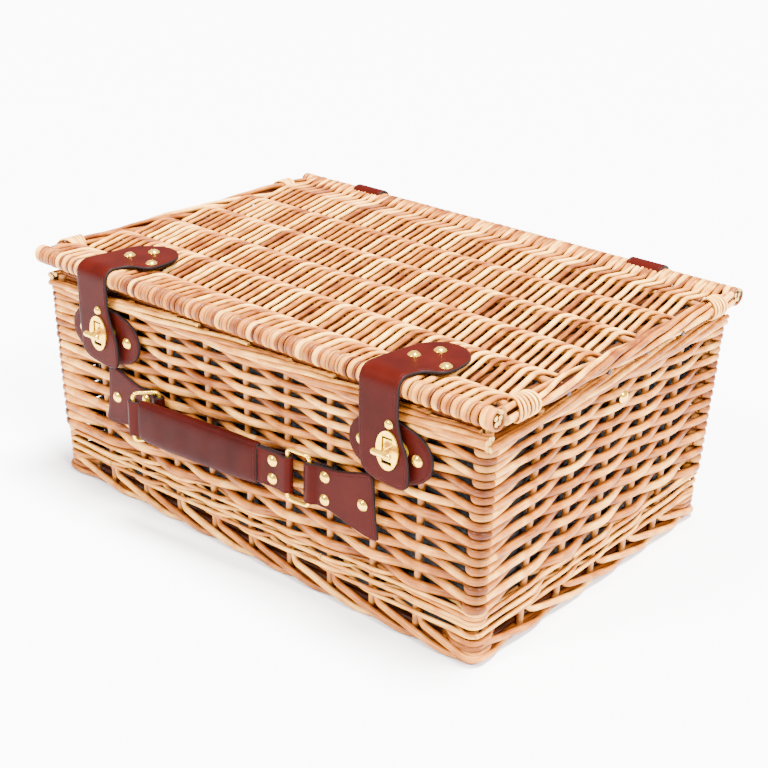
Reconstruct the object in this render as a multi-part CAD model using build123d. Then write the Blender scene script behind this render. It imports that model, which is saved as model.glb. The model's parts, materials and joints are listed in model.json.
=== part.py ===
from build123d import *
import math
import os

# Wicker picnic hamper. Millimetres; X is the length, -Y the front with the clasps, +Z up.
# The origin is the middle of the underside of the base.

# Woven body
FOOT_L = 442.0
FOOT_W = 308.0
FOOT_H = 12.0
FOOT_T = 14.0
WALL_BOTTOM_L = 438.0
WALL_BOTTOM_W = 304.0
WALL_TOP_L = 449.0
WALL_TOP_W = 313.0
WALL_BOTTOM_Z = FOOT_H + 0.1
WALL_TOP_Z = 168.0
WALL_T = 12.0
CORNER = 22.0
CORNER_R = 11.0
GAP = 0.1

RIM_L = 454.0
RIM_W = 322.0
RIM_T = 16.0
RIM_TOP_Z = 181.0

BASE_T = 8.0
BASE_STICKS = 5
BASE_STICK_PITCH = 46.0
STICK_R = 2.5
BASE_STICK_STOP = 2.0

STAKE_R = 2.6
CHANNEL_R = 2.7
CHANNEL_END_GAP = 0.1
FRONT_STAKES = 9
FRONT_PITCH = 41.8
SIDE_STAKES = 5
SIDE_PITCH = 46.5
STAKE_BOTTOM_Z = 3.0
STAKE_TOP_Z = 177.0
POST_R = 4.5
POST_INSET = 10.0

LINING_T = 1.5
LINING_R = 40.0
LINING_TOP_Z = 166.0
LINING_CLEARANCE_LOW = 0.8
LINING_CLEARANCE_HIGH = 1.0

# Lid
LID_L = 461.0
ROLL_R = 7.5
ROLL_BORE_R = 4.6
ROLL_Y = 155.5
ROLL_Z = 192.5
CORE_ROD_R = 1.85
CORE_ROD_OFFSET = 1.9
CORE_RECESS = 2.5
PANEL_BOTTOM_Z = 187.5
PANEL_TOP_Z = 197.5
BORDER_T = 12.0
BORDER_BOTTOM_Z = 186.0
BORDER_TOP_Z = 199.0
LID_STICKS = 6
LID_STICK_PITCH = 50.0
LID_STICK_Y = -7.0
LASHING_W = 12.0
LASHING_T = 1.5
LASHING_FRONT_Y = -116.0
LASHING_BACK_Y = 133.0
LID_LINING_HALF = (205.0, 138.0)
LID_LINING_T = 1.2
LID_LINING_GAP = 0.4
STICK_SEAT = 8.0

# Leather and brass
LEATHER_T = 2.5
STRAP_X = 149.0
NECK_LEFT = -23.0
NECK_RIGHT = 12.0
FLAP_RIGHT = 21.0
PAD_Y = -148.0
PAD_Z = 200.3
ROLL_GAP = 0.3
FLAP_BOTTOM_Z = 122.0
RIVET_R = 4.5
RIVET_DOME = 2.4
RIVET_SHANK_R = 1.2
RIVET_HOLE_R = 1.3
RIVET_HOLE_OVER = 0.5
RIVET_HOLE_DEEPER = 0.3
PAD_RIVETS = {
    "left": ((-4.0, 20.0), (23.0, 19.0), (4.0, 38.0)),
    "right": ((-11.0, 20.0), (17.0, 19.0), (-3.0, 38.0)),
}
PAD_RIVET_L = 2.7

PATCH_Z = 145.0
PATCH_BACK_Y = -157.2
PATCH_X = {"left": -149.0, "right": 145.0}
PATCH_HALF_L = {"left": 39.5, "right": 36.5}
PATCH_HALF_H = 22.5
PATCH_RIVET_X = {"left": (-175.0, -123.0), "right": (120.0, 169.0)}
PATCH_RIVET_L = 6.0

LOCK_Z = 148.5
LOCK_BASE_L = 26.0
LOCK_BASE_H = 16.0
LOCK_BASE_T = 2.0
BOSS_W = 7.4
BOSS_H = 16.0
BOSS_FRONT_Y = -166.2
POST_OUT_R = 2.6
BUTTON_SHAFT_R = 1.5
SHAFT_CLEARANCE = 0.05
BUTTON_L = 17.0
BUTTON_R = 2.25
BUTTON_Y = -173.0
POST_SINK = 0.5
POST_END_GAP = 0.3
EYELET_W = 19.0
EYELET_H = 28.6
EYELET_T = 1.2
EYELET_SLOT_W = 9.0
EYELET_SLOT_H = 20.0
EYELET_RIVET_R = 3.5
EYELET_RIVET_DOME = 2.0
EYELET_RIVET_SHANK_R = 1.0
EYELET_RIVET_SHANK_L = 0.05

HANDLE_X = -6.5
HANDLE_Z = 95.5
TAB_REACH = 79.5
TAB_Y = -160.4
TAB_T = 4.7
TAB_HALF_H = 16.0
TAB_RIVETS = ((94.5, 9.0), (94.5, -9.0), (130.0, 0.0))
TAB_RIVET_L = 7.5
LOOP_R = 4.2
RING_BAR_R = 1.5
RING_BORE_R = 1.6
RING_W = 20.0
RING_HALF_H = 20.0
RING_CORNER_R = 3.5
RING_LEFT_DEG = 230.0
RING_RIGHT_DEG = 184.6
STRAP_T = 5.0
STRAP_HALF_H = 14.5
EYE_SLACK = 4.0
EYE_R = 2.5
HANDLE_RIVET_BACK = 12.0
HANDLE_RIVET_Z = 7.2
SLEEVE_L = 118.0
SLEEVE_START = 8.0
SLEEVE_HALF_H = 17.0
SLEEVE_T = 11.0
SLEEVE_CLEARANCE = 0.3
SLEEVE_CORNER_R = 4.5

HINGE_STRAP_X = 148.0
HINGE_STRAP_W = 32.0
HINGE_STRAP_T = 2.2
HINGE_STRAP_BOTTOM_Z = 138.0
HINGE_STRAP_INNER_Z = 184.6
HINGE_RIVET_Z = 147.0
HINGE_RIVET_X = 8.0
HINGE_RIVET_L = 12.0
SLOT_GAP = 0.2

STUD_Y = 4.5
STUD_Z = 155.7
STUD_R = 5.0
STUD_DOME = 3.0
STUD_SHANK_R = 1.4
STUD_PROUD = 0.2

SIDES = (("left", -1), ("right", 1))


def half_size(z):
    """Half length and half width of the woven wall's outer face at height z."""
    t = (z - FOOT_H) / (WALL_TOP_Z - FOOT_H)
    half_l = (WALL_BOTTOM_L + (WALL_TOP_L - WALL_BOTTOM_L) * t) / 2
    half_w = (WALL_BOTTOM_W + (WALL_TOP_W - WALL_BOTTOM_W) * t) / 2
    return half_l, half_w


def rod(start, end, radius):
    """A round rod between two points."""
    start = Vector(*start)
    end = Vector(*end)
    plane = Plane(origin=start, z_dir=end - start)
    return Solid.make_cylinder(radius, (end - start).length, plane)


def block(low, high):
    """A box from its lowest corner to its highest corner."""
    size = [h - l for l, h in zip(low, high)]
    middle = [(h + l) / 2 for l, h in zip(low, high)]
    return Pos(*middle) * Box(*size)


def tapered(bottom, bottom_z, top, top_z):
    """A block whose bottom and top rectangles (x0, y0, x1, y1) differ."""
    wires = []
    for (x0, y0, x1, y1), z in ((bottom, bottom_z), (top, top_z)):
        wires.append(Wire.make_polygon([(x0, y0, z), (x1, y0, z), (x1, y1, z), (x0, y1, z)], close=True))
    return Part() + Solid.make_loft(wires, ruled=True)


def cut(shape, tools):
    for tool in tools:
        shape = shape - tool
    return shape


def group(solids):
    return Compound(children=[s if isinstance(s, Solid) else s.solid() for s in solids])


def stake_line(x_top, y_sign, side):
    """Centre line of one upright: its points at the bottom and top of its length."""
    points = []
    for z in (STAKE_BOTTOM_Z, STAKE_TOP_Z):
        half_l, half_w = half_size(z)
        if side:
            along = x_top * half_w * 2 / WALL_TOP_W
            points.append((y_sign * (half_l - WALL_T / 2), along, z))
        else:
            along = x_top * half_l * 2 / WALL_TOP_L
            points.append((along, y_sign * (half_w - WALL_T / 2), z))
    return points


def stake_lines():
    lines = {}
    for name, sign in (("front", -1), ("back", 1)):
        middle = (FRONT_STAKES - 1) / 2
        lines[name] = [stake_line((i - middle) * FRONT_PITCH, sign, False) for i in range(FRONT_STAKES)]
    for name, sign in SIDES:
        middle = (SIDE_STAKES - 1) / 2
        lines[name] = [stake_line((i - middle) * SIDE_PITCH, sign, True) for i in range(SIDE_STAKES)]
    return lines


def post_lines():
    lines = []
    for sx in (-1, 1):
        for sy in (-1, 1):
            points = []
            for z in (STAKE_BOTTOM_Z, STAKE_TOP_Z):
                half_l, half_w = half_size(z)
                points.append((sx * (half_l - POST_INSET), sy * (half_w - POST_INSET), z))
            lines.append(points)
    return lines


def channel(line, radius):
    """The hole a rod of this line needs, a little longer and wider than the rod."""
    low = Vector(*line[0])
    high = Vector(*line[1])
    step = (high - low).normalized() * CHANNEL_END_GAP
    return rod(low - step, high + step, radius)


def rails(half_l, half_w, thickness, z0, z1):
    """Four rails of a rectangular border: front and back full length, sides between them."""
    inner_y = half_w - thickness - GAP
    return [
        block((-half_l, -half_w, z0), (half_l, -half_w + thickness, z1)),
        block((-half_l, half_w - thickness, z0), (half_l, half_w, z1)),
        block((-half_l, -inner_y, z0), (-half_l + thickness, inner_y, z1)),
        block((half_l - thickness, -inner_y, z0), (half_l, inner_y, z1)),
    ]


def make_borders(tools):
    foot = [cut(r, tools) for r in rails(FOOT_L / 2, FOOT_W / 2, FOOT_T, 0, FOOT_H)]
    rim = [cut(r, tools) for r in rails(RIM_L / 2, RIM_W / 2, RIM_T, WALL_TOP_Z + GAP, RIM_TOP_Z)]
    return group(foot), group(rim)


def make_walls():
    """The four woven sides between the corners."""
    low_l, low_w = half_size(WALL_BOTTOM_Z)
    high_l, high_w = half_size(WALL_TOP_Z)
    end = CORNER + GAP
    walls = {}
    for name, sign in (("front", -1), ("back", 1)):
        low_y = sorted((sign * low_w, sign * (low_w - WALL_T)))
        high_y = sorted((sign * high_w, sign * (high_w - WALL_T)))
        low = (-low_l + end, low_y[0], low_l - end, low_y[1])
        high = (-high_l + end, high_y[0], high_l - end, high_y[1])
        walls[name] = tapered(low, WALL_BOTTOM_Z, high, WALL_TOP_Z)
    for name, sign in SIDES:
        low_x = sorted((sign * low_l, sign * (low_l - WALL_T)))
        high_x = sorted((sign * high_l, sign * (high_l - WALL_T)))
        low = (low_x[0], -low_w + end, low_x[1], low_w - end)
        high = (high_x[0], -high_w + end, high_x[1], high_w - end)
        walls[name] = tapered(low, WALL_BOTTOM_Z, high, WALL_TOP_Z)
    return walls


def corner_section(sx, sy, z):
    """Plan section of one woven corner, rounded on the outside."""
    half_l, half_w = half_size(z)
    x0 = half_l - CORNER
    y0 = half_w - CORNER
    xr = half_l - CORNER_R
    yr = half_w - CORNER_R
    reach = CORNER_R * math.sqrt(0.5)
    line = Polyline((sx * half_l, sy * yr, z), (sx * half_l, sy * y0, z), (sx * x0, sy * y0, z),
                    (sx * x0, sy * half_w, z), (sx * xr, sy * half_w, z))
    arc = ThreePointArc((sx * xr, sy * half_w, z), (sx * (xr + reach), sy * (yr + reach), z),
                        (sx * half_l, sy * yr, z))
    return Wire(line.edges() + arc.edges())


def make_corners(tools):
    corners = []
    for sx in (-1, 1):
        for sy in (-1, 1):
            wires = [corner_section(sx, sy, WALL_BOTTOM_Z), corner_section(sx, sy, WALL_TOP_Z)]
            solid = Part() + Solid.make_loft(wires, ruled=True)
            corners.append(cut(solid, tools))
    return group(corners)


def make_base(post_tools):
    half_l = FOOT_L / 2 - FOOT_T - GAP
    half_w = FOOT_W / 2 - FOOT_T - GAP
    middle = (BASE_STICKS - 1) / 2
    lines = []
    for i in range(BASE_STICKS):
        y = (i - middle) * BASE_STICK_PITCH
        lines.append(((-half_l + BASE_STICK_STOP, y, BASE_T / 2), (half_l - BASE_STICK_STOP, y, BASE_T / 2)))
    panel = block((-half_l, -half_w, 0), (half_l, half_w, BASE_T))
    panel = cut(panel, post_tools + [channel(line, STICK_R + GAP) for line in lines])
    return panel, group([rod(*line, STICK_R) for line in lines])


def make_lining():
    """Thin fabric tub, open at the top, that stands clear of the woven corners."""
    low_z = BASE_T + GAP
    high_l, high_w = half_size(LINING_TOP_Z)
    low_in = FOOT_T + LINING_CLEARANCE_LOW
    high_in = WALL_T + LINING_CLEARANCE_HIGH
    low_size = (FOOT_L - 2 * low_in, FOOT_W - 2 * low_in)
    high_size = (2 * (high_l - high_in), 2 * (high_w - high_in))
    outer = loft([Pos(0, 0, low_z) * RectangleRounded(*low_size, LINING_R),
                  Pos(0, 0, LINING_TOP_Z) * RectangleRounded(*high_size, LINING_R)], ruled=True)
    trim = 2 * LINING_T
    inner_low = RectangleRounded(low_size[0] - trim, low_size[1] - trim, LINING_R - LINING_T)
    inner_high = RectangleRounded(high_size[0] - trim, high_size[1] - trim, LINING_R - LINING_T)
    inner = loft([Pos(0, 0, low_z + LINING_T) * inner_low,
                  Pos(0, 0, LINING_TOP_Z + 1) * inner_high], ruled=True)
    return outer - inner


def rivet(base, direction, head_r, dome, shank_r, shank_l):
    """A domed rivet: its head stands on base, and its shank goes the other way."""
    plane = Plane(origin=base, z_dir=direction)
    sphere_r = (head_r ** 2 + dome ** 2) / (2 * dome)
    ball = Pos(0, 0, dome - sphere_r) * Sphere(sphere_r)
    keep = Pos(0, 0, dome / 2) * Box(4 * head_r, 4 * head_r, dome)
    shank = Pos(0, 0, -shank_l / 2) * Cylinder(shank_r, shank_l)
    return plane.location * ((ball & keep) + shank)


def leather_rivet(base, direction, shank_l):
    return rivet(base, direction, RIVET_R, RIVET_DOME, RIVET_SHANK_R, shank_l)


def rivet_hole(base, direction, shank_l):
    end = Vector(*base) - Vector(*direction) * (shank_l + RIVET_HOLE_DEEPER)
    start = Vector(*base) + Vector(*direction) * RIVET_HOLE_OVER
    return rod(start, end, RIVET_HOLE_R)


def upright_plate(outline, back_y, thickness):
    """A flat piece drawn in X and Z, from back_y outwards (towards -Y)."""
    plane = Plane(origin=(0, back_y, 0), x_dir=(1, 0, 0), z_dir=(0, -1, 0))
    return extrude(plane.location * outline, thickness)


def clasp_patch_outline(name):
    return Pos(PATCH_X[name], PATCH_Z) * Ellipse(PATCH_HALF_L[name], PATCH_HALF_H)


def make_clasp_patches():
    front_y = PATCH_BACK_Y - LEATHER_T
    patches = {}
    rivets = []
    holes = []
    for name, _ in SIDES:
        bases = [(x, front_y, PATCH_Z) for x in PATCH_RIVET_X[name]]
        spots = [rivet_hole(b, (0, -1, 0), PATCH_RIVET_L) for b in bases]
        patches[name] = cut(upright_plate(clasp_patch_outline(name), PATCH_BACK_Y, LEATHER_T), spots)
        rivets += [leather_rivet(b, (0, -1, 0), PATCH_RIVET_L) for b in bases]
        holes += spots
    return patches, group(rivets), holes


def make_turnlock(x):
    """The fixed base, whose raised boss fills the strap's slot, and the T-shaped button that turns in it."""
    back_y = PATCH_BACK_Y - LEATHER_T - GAP
    post_end_y = BUTTON_Y + BUTTON_R + POST_END_GAP
    plate = upright_plate(Pos(x, LOCK_Z) * Ellipse(LOCK_BASE_L / 2, LOCK_BASE_H / 2), back_y, LOCK_BASE_T)
    post = rod((x, back_y - POST_SINK, LOCK_Z), (x, post_end_y, LOCK_Z), POST_OUT_R)
    bore_r = BUTTON_SHAFT_R + SHAFT_CLEARANCE
    bore = rod((x, back_y - POST_SINK - GAP, LOCK_Z), (x, post_end_y - 1, LOCK_Z), bore_r)
    boss = block((x - BOSS_W / 2, BOSS_FRONT_Y, LOCK_Z - BOSS_H / 2),
                 (x + BOSS_W / 2, back_y, LOCK_Z + BOSS_H / 2))
    base = (plate + boss + post) - bore
    shaft = rod((x, back_y - 1, LOCK_Z), (x, BUTTON_Y, LOCK_Z), BUTTON_SHAFT_R)
    reach = BUTTON_L / 2 - BUTTON_R
    bar = rod((x - reach, BUTTON_Y, LOCK_Z), (x + reach, BUTTON_Y, LOCK_Z), BUTTON_R)
    ends = [Pos(x + side * reach, BUTTON_Y, LOCK_Z) * Sphere(BUTTON_R) for side in (-1, 1)]
    button = Part() + shaft + bar + ends[0] + ends[1]
    return base, button


def roll_bend(x, y, ring, keep):
    """Part of a ring round a lid roll; keep is drawn with X to the back and Y up."""
    plane = Plane(origin=(x, y, ROLL_Z), x_dir=(0, 1, 0), z_dir=(1, 0, 0))
    return plane.location * (ring & keep)


def make_strap_pad(name, x):
    """The part of the strap that is riveted to the lid, with a lobe on its right side."""
    outline = make_face([
        Line((NECK_LEFT, 0), (NECK_RIGHT, 0)),
        ThreePointArc((NECK_RIGHT, 0), (15.5, 6.0), (24.0, 9.0)),
        ThreePointArc((24.0, 9.0), (32.5, 15.0), (33.5, 25.0)),
        ThreePointArc((33.5, 25.0), (21.0, 49.0), (0, 56.0)),
        ThreePointArc((0, 56.0), (-15.0, 51.5), (-23.5, 39.0)),
        ThreePointArc((-23.5, 39.0), (-27.0, 20.0), (NECK_LEFT, 0)),
    ])
    pad = extrude(Plane(origin=(x, PAD_Y, PAD_Z)).location * outline, LEATHER_T)
    bases = [(x + dx, PAD_Y + dy, PAD_Z + LEATHER_T) for dx, dy in PAD_RIVETS[name]]
    pad = cut(pad, [rivet_hole(b, (0, 0, 1), PAD_RIVET_L) for b in bases])
    return pad, bases


def make_flap(x):
    """The part of the strap that bends over the lid's front roll and hangs to the clasp."""
    inner_r = ROLL_R + ROLL_GAP
    outer_r = inner_r + LEATHER_T
    back_y = -ROLL_Y - inner_r
    outline = make_face([
        Line((NECK_LEFT, ROLL_Z), (NECK_RIGHT, ROLL_Z)),
        Line((NECK_RIGHT, ROLL_Z), (NECK_RIGHT, 168.0)),
        ThreePointArc((NECK_RIGHT, 168.0), (14.5, 156.0), (FLAP_RIGHT, 145.0)),
        Line((FLAP_RIGHT, 145.0), (FLAP_RIGHT, 136.0)),
        ThreePointArc((FLAP_RIGHT, 136.0), (18.0, 128.0), (10.0, 124.0)),
        Line((10.0, 124.0), (-11.0, FLAP_BOTTOM_Z)),
        ThreePointArc((-11.0, FLAP_BOTTOM_Z), (-20.0, 125.0), (NECK_LEFT, 134.0)),
        Line((NECK_LEFT, 134.0), (NECK_LEFT, ROLL_Z)),
    ])
    hanging = upright_plate(Pos(x, 0) * outline, back_y, LEATHER_T)
    width = NECK_RIGHT - NECK_LEFT
    ring = Cylinder(outer_r, width) - Cylinder(inner_r, width)
    quarter = Pos(-outer_r, outer_r) * Box(2 * outer_r, 2 * outer_r, width)
    bend = roll_bend(x + (NECK_LEFT + NECK_RIGHT) / 2, -ROLL_Y, ring, quarter)
    tongue = block((x + NECK_LEFT, -ROLL_Y, PAD_Z), (x + NECK_RIGHT, PAD_Y - GAP, PAD_Z + LEATHER_T))
    slot = block((x - EYELET_SLOT_W / 2, back_y - 10, LOCK_Z - EYELET_SLOT_H / 2),
                 (x + EYELET_SLOT_W / 2, back_y + 10, LOCK_Z + EYELET_SLOT_H / 2))
    return hanging + bend + tongue - slot, back_y - LEATHER_T


def make_eyelet(x, back_y):
    """The brass plate round the flap's slot, and the rivet above it."""
    outline = Ellipse(EYELET_W / 2, EYELET_H / 2) - Rectangle(EYELET_SLOT_W, EYELET_SLOT_H)
    plate = upright_plate(Pos(x, LOCK_Z) * outline, back_y - GAP, EYELET_T)
    base = (x, back_y - GAP, LOCK_Z + EYELET_H / 2 + RIVET_R)
    return plate, base


def tab_outline(sign):
    """One handle tab, drawn from the ring outwards with a flared tail."""
    top = HANDLE_Z + TAB_HALF_H
    bottom = HANDLE_Z - TAB_HALF_H
    edges = [
        Line((TAB_REACH, bottom), (TAB_REACH, top)),
        ThreePointArc((TAB_REACH, top), (108.0, 115.0), (135.0, 121.0)),
        ThreePointArc((135.0, 121.0), (138.5, 120.0), (139.0, 116.0)),
        ThreePointArc((139.0, 116.0), (140.8, 96.0), (137.0, 75.0)),
        ThreePointArc((137.0, 75.0), (134.8, 71.8), (130.5, 72.0)),
        ThreePointArc((130.5, 72.0), (110.0, 78.0), (TAB_REACH, bottom)),
    ]
    face = make_face(edges)
    return Pos(HANDLE_X, 0) * (mirror(face, Plane.YZ) if sign < 0 else face)


def make_handle_tab(sign):
    back_y = TAB_Y + LOOP_R
    x = HANDLE_X + sign * TAB_REACH
    z0 = HANDLE_Z - TAB_HALF_H
    z1 = HANDLE_Z + TAB_HALF_H
    plate = upright_plate(tab_outline(sign), back_y, TAB_T)
    loop = rod((x, TAB_Y, z0), (x, TAB_Y, z1), LOOP_R)
    bore = rod((x, TAB_Y, z0 - 1), (x, TAB_Y, z1 + 1), RING_BORE_R)
    front_y = back_y - TAB_T
    bases = [(HANDLE_X + sign * reach, front_y, HANDLE_Z + dz) for reach, dz in TAB_RIVETS]
    holes = [rivet_hole(b, (0, -1, 0), TAB_RIVET_L) for b in bases]
    return cut((plate + loop) - bore, holes), bases, holes


def ring_point(sign, degrees):
    """Centre of the ring's outer bar in plan, when the ring points in this direction."""
    x = HANDLE_X + sign * TAB_REACH
    turn = math.radians(degrees)
    return x + RING_W * math.cos(turn), TAB_Y + RING_W * math.sin(turn)


def make_ring(sign, degrees):
    x = HANDLE_X + sign * TAB_REACH
    turn = math.radians(degrees)
    plane = Plane(origin=(x, TAB_Y, HANDLE_Z), x_dir=(math.cos(turn), math.sin(turn), 0),
                  z_dir=(math.sin(turn), -math.cos(turn), 0))
    path = Pos(RING_W / 2, 0) * RectangleRounded(RING_W, 2 * RING_HALF_H, RING_CORNER_R)
    wire = plane.location * path.wire()
    start = wire @ 0
    section = Plane(origin=start, z_dir=wire % 0).location * Circle(RING_BAR_R)
    return sweep(section, path=wire)


def handle_frame():
    """Plan frame of the handle: origin at the left ring's bar, X along the strap."""
    left = Vector(*ring_point(-1, RING_LEFT_DEG), 0)
    right = Vector(*ring_point(1, RING_RIGHT_DEG), 0)
    length = (right - left).length
    return Plane(origin=left, x_dir=right - left, z_dir=(0, 0, 1)), length


def make_handle():
    """The strap with a loop at each end, its two rivets, and the sleeve that slides on it."""
    frame, length = handle_frame()
    z0 = HANDLE_Z - STRAP_HALF_H
    z1 = HANDLE_Z + STRAP_HALF_H
    middle = (z0 + z1) / 2
    height = z1 - z0
    bar = block((0, -STRAP_T / 2, z0), (length, STRAP_T / 2, z1))
    left_loop = Pos(0, 0, middle) * Cylinder(LOOP_R, height)
    eye_at = length - EYE_SLACK / 2
    right_loop = Pos(eye_at, 0, z0) * extrude(SlotCenterToCenter(EYE_SLACK, 2 * LOOP_R), height)
    bore = Pos(0, 0, middle) * Cylinder(RING_BORE_R, height + 2)
    eye = Pos(eye_at, 0, z0 - 1) * extrude(SlotCenterToCenter(EYE_SLACK, 2 * EYE_R), height + 2)
    rivet_at = length - HANDLE_RIVET_BACK
    spots = [(rivet_at, -STRAP_T / 2, HANDLE_Z + side * HANDLE_RIVET_Z) for side in (-1, 1)]
    shank = STRAP_T + 0.5
    strap = (bar + left_loop + right_loop) - bore - eye
    strap = cut(strap, [rivet_hole(b, (0, -1, 0), shank) for b in spots])
    rivets = [frame.location * leather_rivet(b, (0, -1, 0), shank) for b in spots]
    sleeve = Pos(SLEEVE_START + SLEEVE_L / 2, 0, HANDLE_Z) * Box(SLEEVE_L, SLEEVE_T, 2 * SLEEVE_HALF_H)
    sleeve = fillet(sleeve.edges().filter_by(Axis.X), SLEEVE_CORNER_R)
    tunnel_t = STRAP_T + 2 * SLEEVE_CLEARANCE
    tunnel_h = height + 2 * SLEEVE_CLEARANCE
    sleeve = sleeve - Pos(SLEEVE_START + SLEEVE_L / 2, 0, HANDLE_Z) * Box(SLEEVE_L + 2, tunnel_t, tunnel_h)
    return frame.location * strap, group(rivets), frame.location * sleeve


def make_hinge_strap(x):
    """A leather loop round the lid's back roll, with its outer leg down the back."""
    inner_r = ROLL_R + ROLL_GAP / 2
    outer_r = inner_r + HINGE_STRAP_T
    half = HINGE_STRAP_W / 2
    ring = Cylinder(outer_r, HINGE_STRAP_W) - Cylinder(inner_r, HINGE_STRAP_W)
    upper = Pos(0, outer_r) * Box(4 * outer_r, 2 * outer_r, HINGE_STRAP_W)
    bend = roll_bend(x, ROLL_Y, ring, upper)
    outer_leg = block((x - half, ROLL_Y + inner_r, HINGE_STRAP_BOTTOM_Z),
                      (x + half, ROLL_Y + outer_r, ROLL_Z))
    inner_leg = block((x - half, ROLL_Y - outer_r, HINGE_STRAP_INNER_Z),
                      (x + half, ROLL_Y - inner_r, ROLL_Z))
    slot = block((x - half - SLOT_GAP, ROLL_Y - outer_r - SLOT_GAP, PANEL_BOTTOM_Z - 1),
                 (x + half + SLOT_GAP, ROLL_Y, PANEL_TOP_Z + 1))
    front_y = ROLL_Y + outer_r
    bases = [(x + side * HINGE_RIVET_X, front_y, HINGE_RIVET_Z) for side in (-1, 1)]
    holes = [rivet_hole(b, (0, 1, 0), HINGE_RIVET_L) for b in bases]
    return cut(bend + outer_leg + inner_leg, holes), slot, bases, holes


def make_studs():
    """One domed stud through the middle of each end wall."""
    face_x = half_size(STUD_Z)[0] + STUD_PROUD
    studs = []
    holes = []
    for _, sign in SIDES:
        base = (sign * face_x, STUD_Y, STUD_Z)
        studs.append(rivet(base, (sign, 0, 0), STUD_R, STUD_DOME, STUD_SHANK_R, WALL_T + 2 * STUD_PROUD))
        inner = (sign * (face_x - WALL_T - 1), STUD_Y, STUD_Z)
        holes.append(rod(inner, (sign * (face_x + 1), STUD_Y, STUD_Z), STUD_SHANK_R + GAP))
    return group(studs), holes


def make_rolls():
    """The lid's two long edges: a wrapped tube round a bundle of four rods."""
    rolls = {}
    cores = {}
    for name, sign in (("front", -1), ("back", 1)):
        y = sign * ROLL_Y
        ends = ((-LID_L / 2, y, ROLL_Z), (LID_L / 2, y, ROLL_Z))
        rolls[name] = Part() + rod(*ends, ROLL_R) - rod((-LID_L, y, ROLL_Z), (LID_L, y, ROLL_Z), ROLL_BORE_R)
        rods = []
        reach = LID_L / 2 - CORE_RECESS
        for dy in (-CORE_ROD_OFFSET, CORE_ROD_OFFSET):
            for dz in (-CORE_ROD_OFFSET, CORE_ROD_OFFSET):
                rods.append(rod((-reach, y + dy, ROLL_Z + dz), (reach, y + dy, ROLL_Z + dz), CORE_ROD_R))
        cores[name] = group(rods)
    return rolls, cores


def make_lashings():
    """Four bindings that tie the side borders to the woven panel, and the slots they need."""
    x0 = LID_L / 2 - BORDER_T
    x1 = LID_L / 2
    clear = 0.05
    lashings = []
    slots = []
    for _, sign in SIDES:
        for y in (LASHING_FRONT_Y, LASHING_BACK_Y):
            low = (x0 - clear - LASHING_T, y - LASHING_W / 2, BORDER_BOTTOM_Z - clear - LASHING_T)
            high = (x1 + clear + LASHING_T, y + LASHING_W / 2, BORDER_TOP_Z + clear + LASHING_T)
            hole_low = (x0 - clear, y - LASHING_W, BORDER_BOTTOM_Z - clear)
            hole_high = (x1 + clear, y + LASHING_W, BORDER_TOP_Z + clear)
            ring = block(low, high) - block(hole_low, hole_high)
            slot = block((low[0] - SLOT_GAP, low[1] - SLOT_GAP, PANEL_BOTTOM_Z - 1),
                         (x0, high[1] + SLOT_GAP, PANEL_TOP_Z + 1))
            if sign < 0:
                ring = mirror(ring, Plane.YZ)
                slot = mirror(slot, Plane.YZ)
            lashings.append(ring)
            slots.append(slot)
    return group(lashings), slots


def make_lid_panel(slots):
    """Woven panel, its cross sticks, and the two side borders that hold the sticks' ends."""
    inner_y = ROLL_Y - ROLL_R - GAP
    x0 = LID_L / 2 - BORDER_T
    middle = (LID_STICKS - 1) / 2
    lines = []
    for i in range(LID_STICKS):
        y = LID_STICK_Y + (i - middle) * LID_STICK_PITCH
        lines.append(((-x0 - STICK_SEAT, y, ROLL_Z), (x0 + STICK_SEAT, y, ROLL_Z)))
    channels = [channel(line, STICK_R + GAP) for line in lines]
    panel = block((-x0 + GAP, -inner_y, PANEL_BOTTOM_Z), (x0 - GAP, inner_y, PANEL_TOP_Z))
    panel = cut(panel, channels + slots)
    borders = {}
    for name, sign in SIDES:
        low_x, high_x = sorted((sign * x0, sign * (x0 + BORDER_T)))
        border = block((low_x, -inner_y, BORDER_BOTTOM_Z), (high_x, inner_y, BORDER_TOP_Z))
        borders[name] = cut(border, channels)
    return panel, group([rod(*line, STICK_R) for line in lines]), borders


def make_lid_lining():
    """Flat cloth under the panel."""
    half_x, half_y = LID_LINING_HALF
    top_z = PANEL_BOTTOM_Z - LID_LINING_GAP
    return block((-half_x, -half_y, top_z - LID_LINING_T), (half_x, half_y, top_z))


def make_body(nodes, wall_holes, stud_holes):
    stakes = stake_lines()
    posts = post_lines()
    post_tools = [channel(line, POST_R + GAP) for line in posts]
    tools = post_tools + [channel(line, CHANNEL_R) for lines in stakes.values() for line in lines]
    nodes["foot_border"], nodes["rim_border"] = make_borders(tools)
    walls = make_walls()
    for name, wall in walls.items():
        holes = [channel(line, CHANNEL_R) for line in stakes[name]]
        extra = stud_holes if name in ("left", "right") else wall_holes[name]
        nodes[f"weave_{name}"] = cut(wall, holes + extra)
        nodes[f"stakes_{name}"] = group([rod(*line, STAKE_R) for line in stakes[name]])
    nodes["weave_corners"] = make_corners(post_tools)
    nodes["corner_posts"] = group([rod(*line, POST_R) for line in posts])
    nodes["base_panel"], nodes["base_sticks"] = make_base(post_tools)
    nodes["body_lining"] = make_lining()


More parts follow.
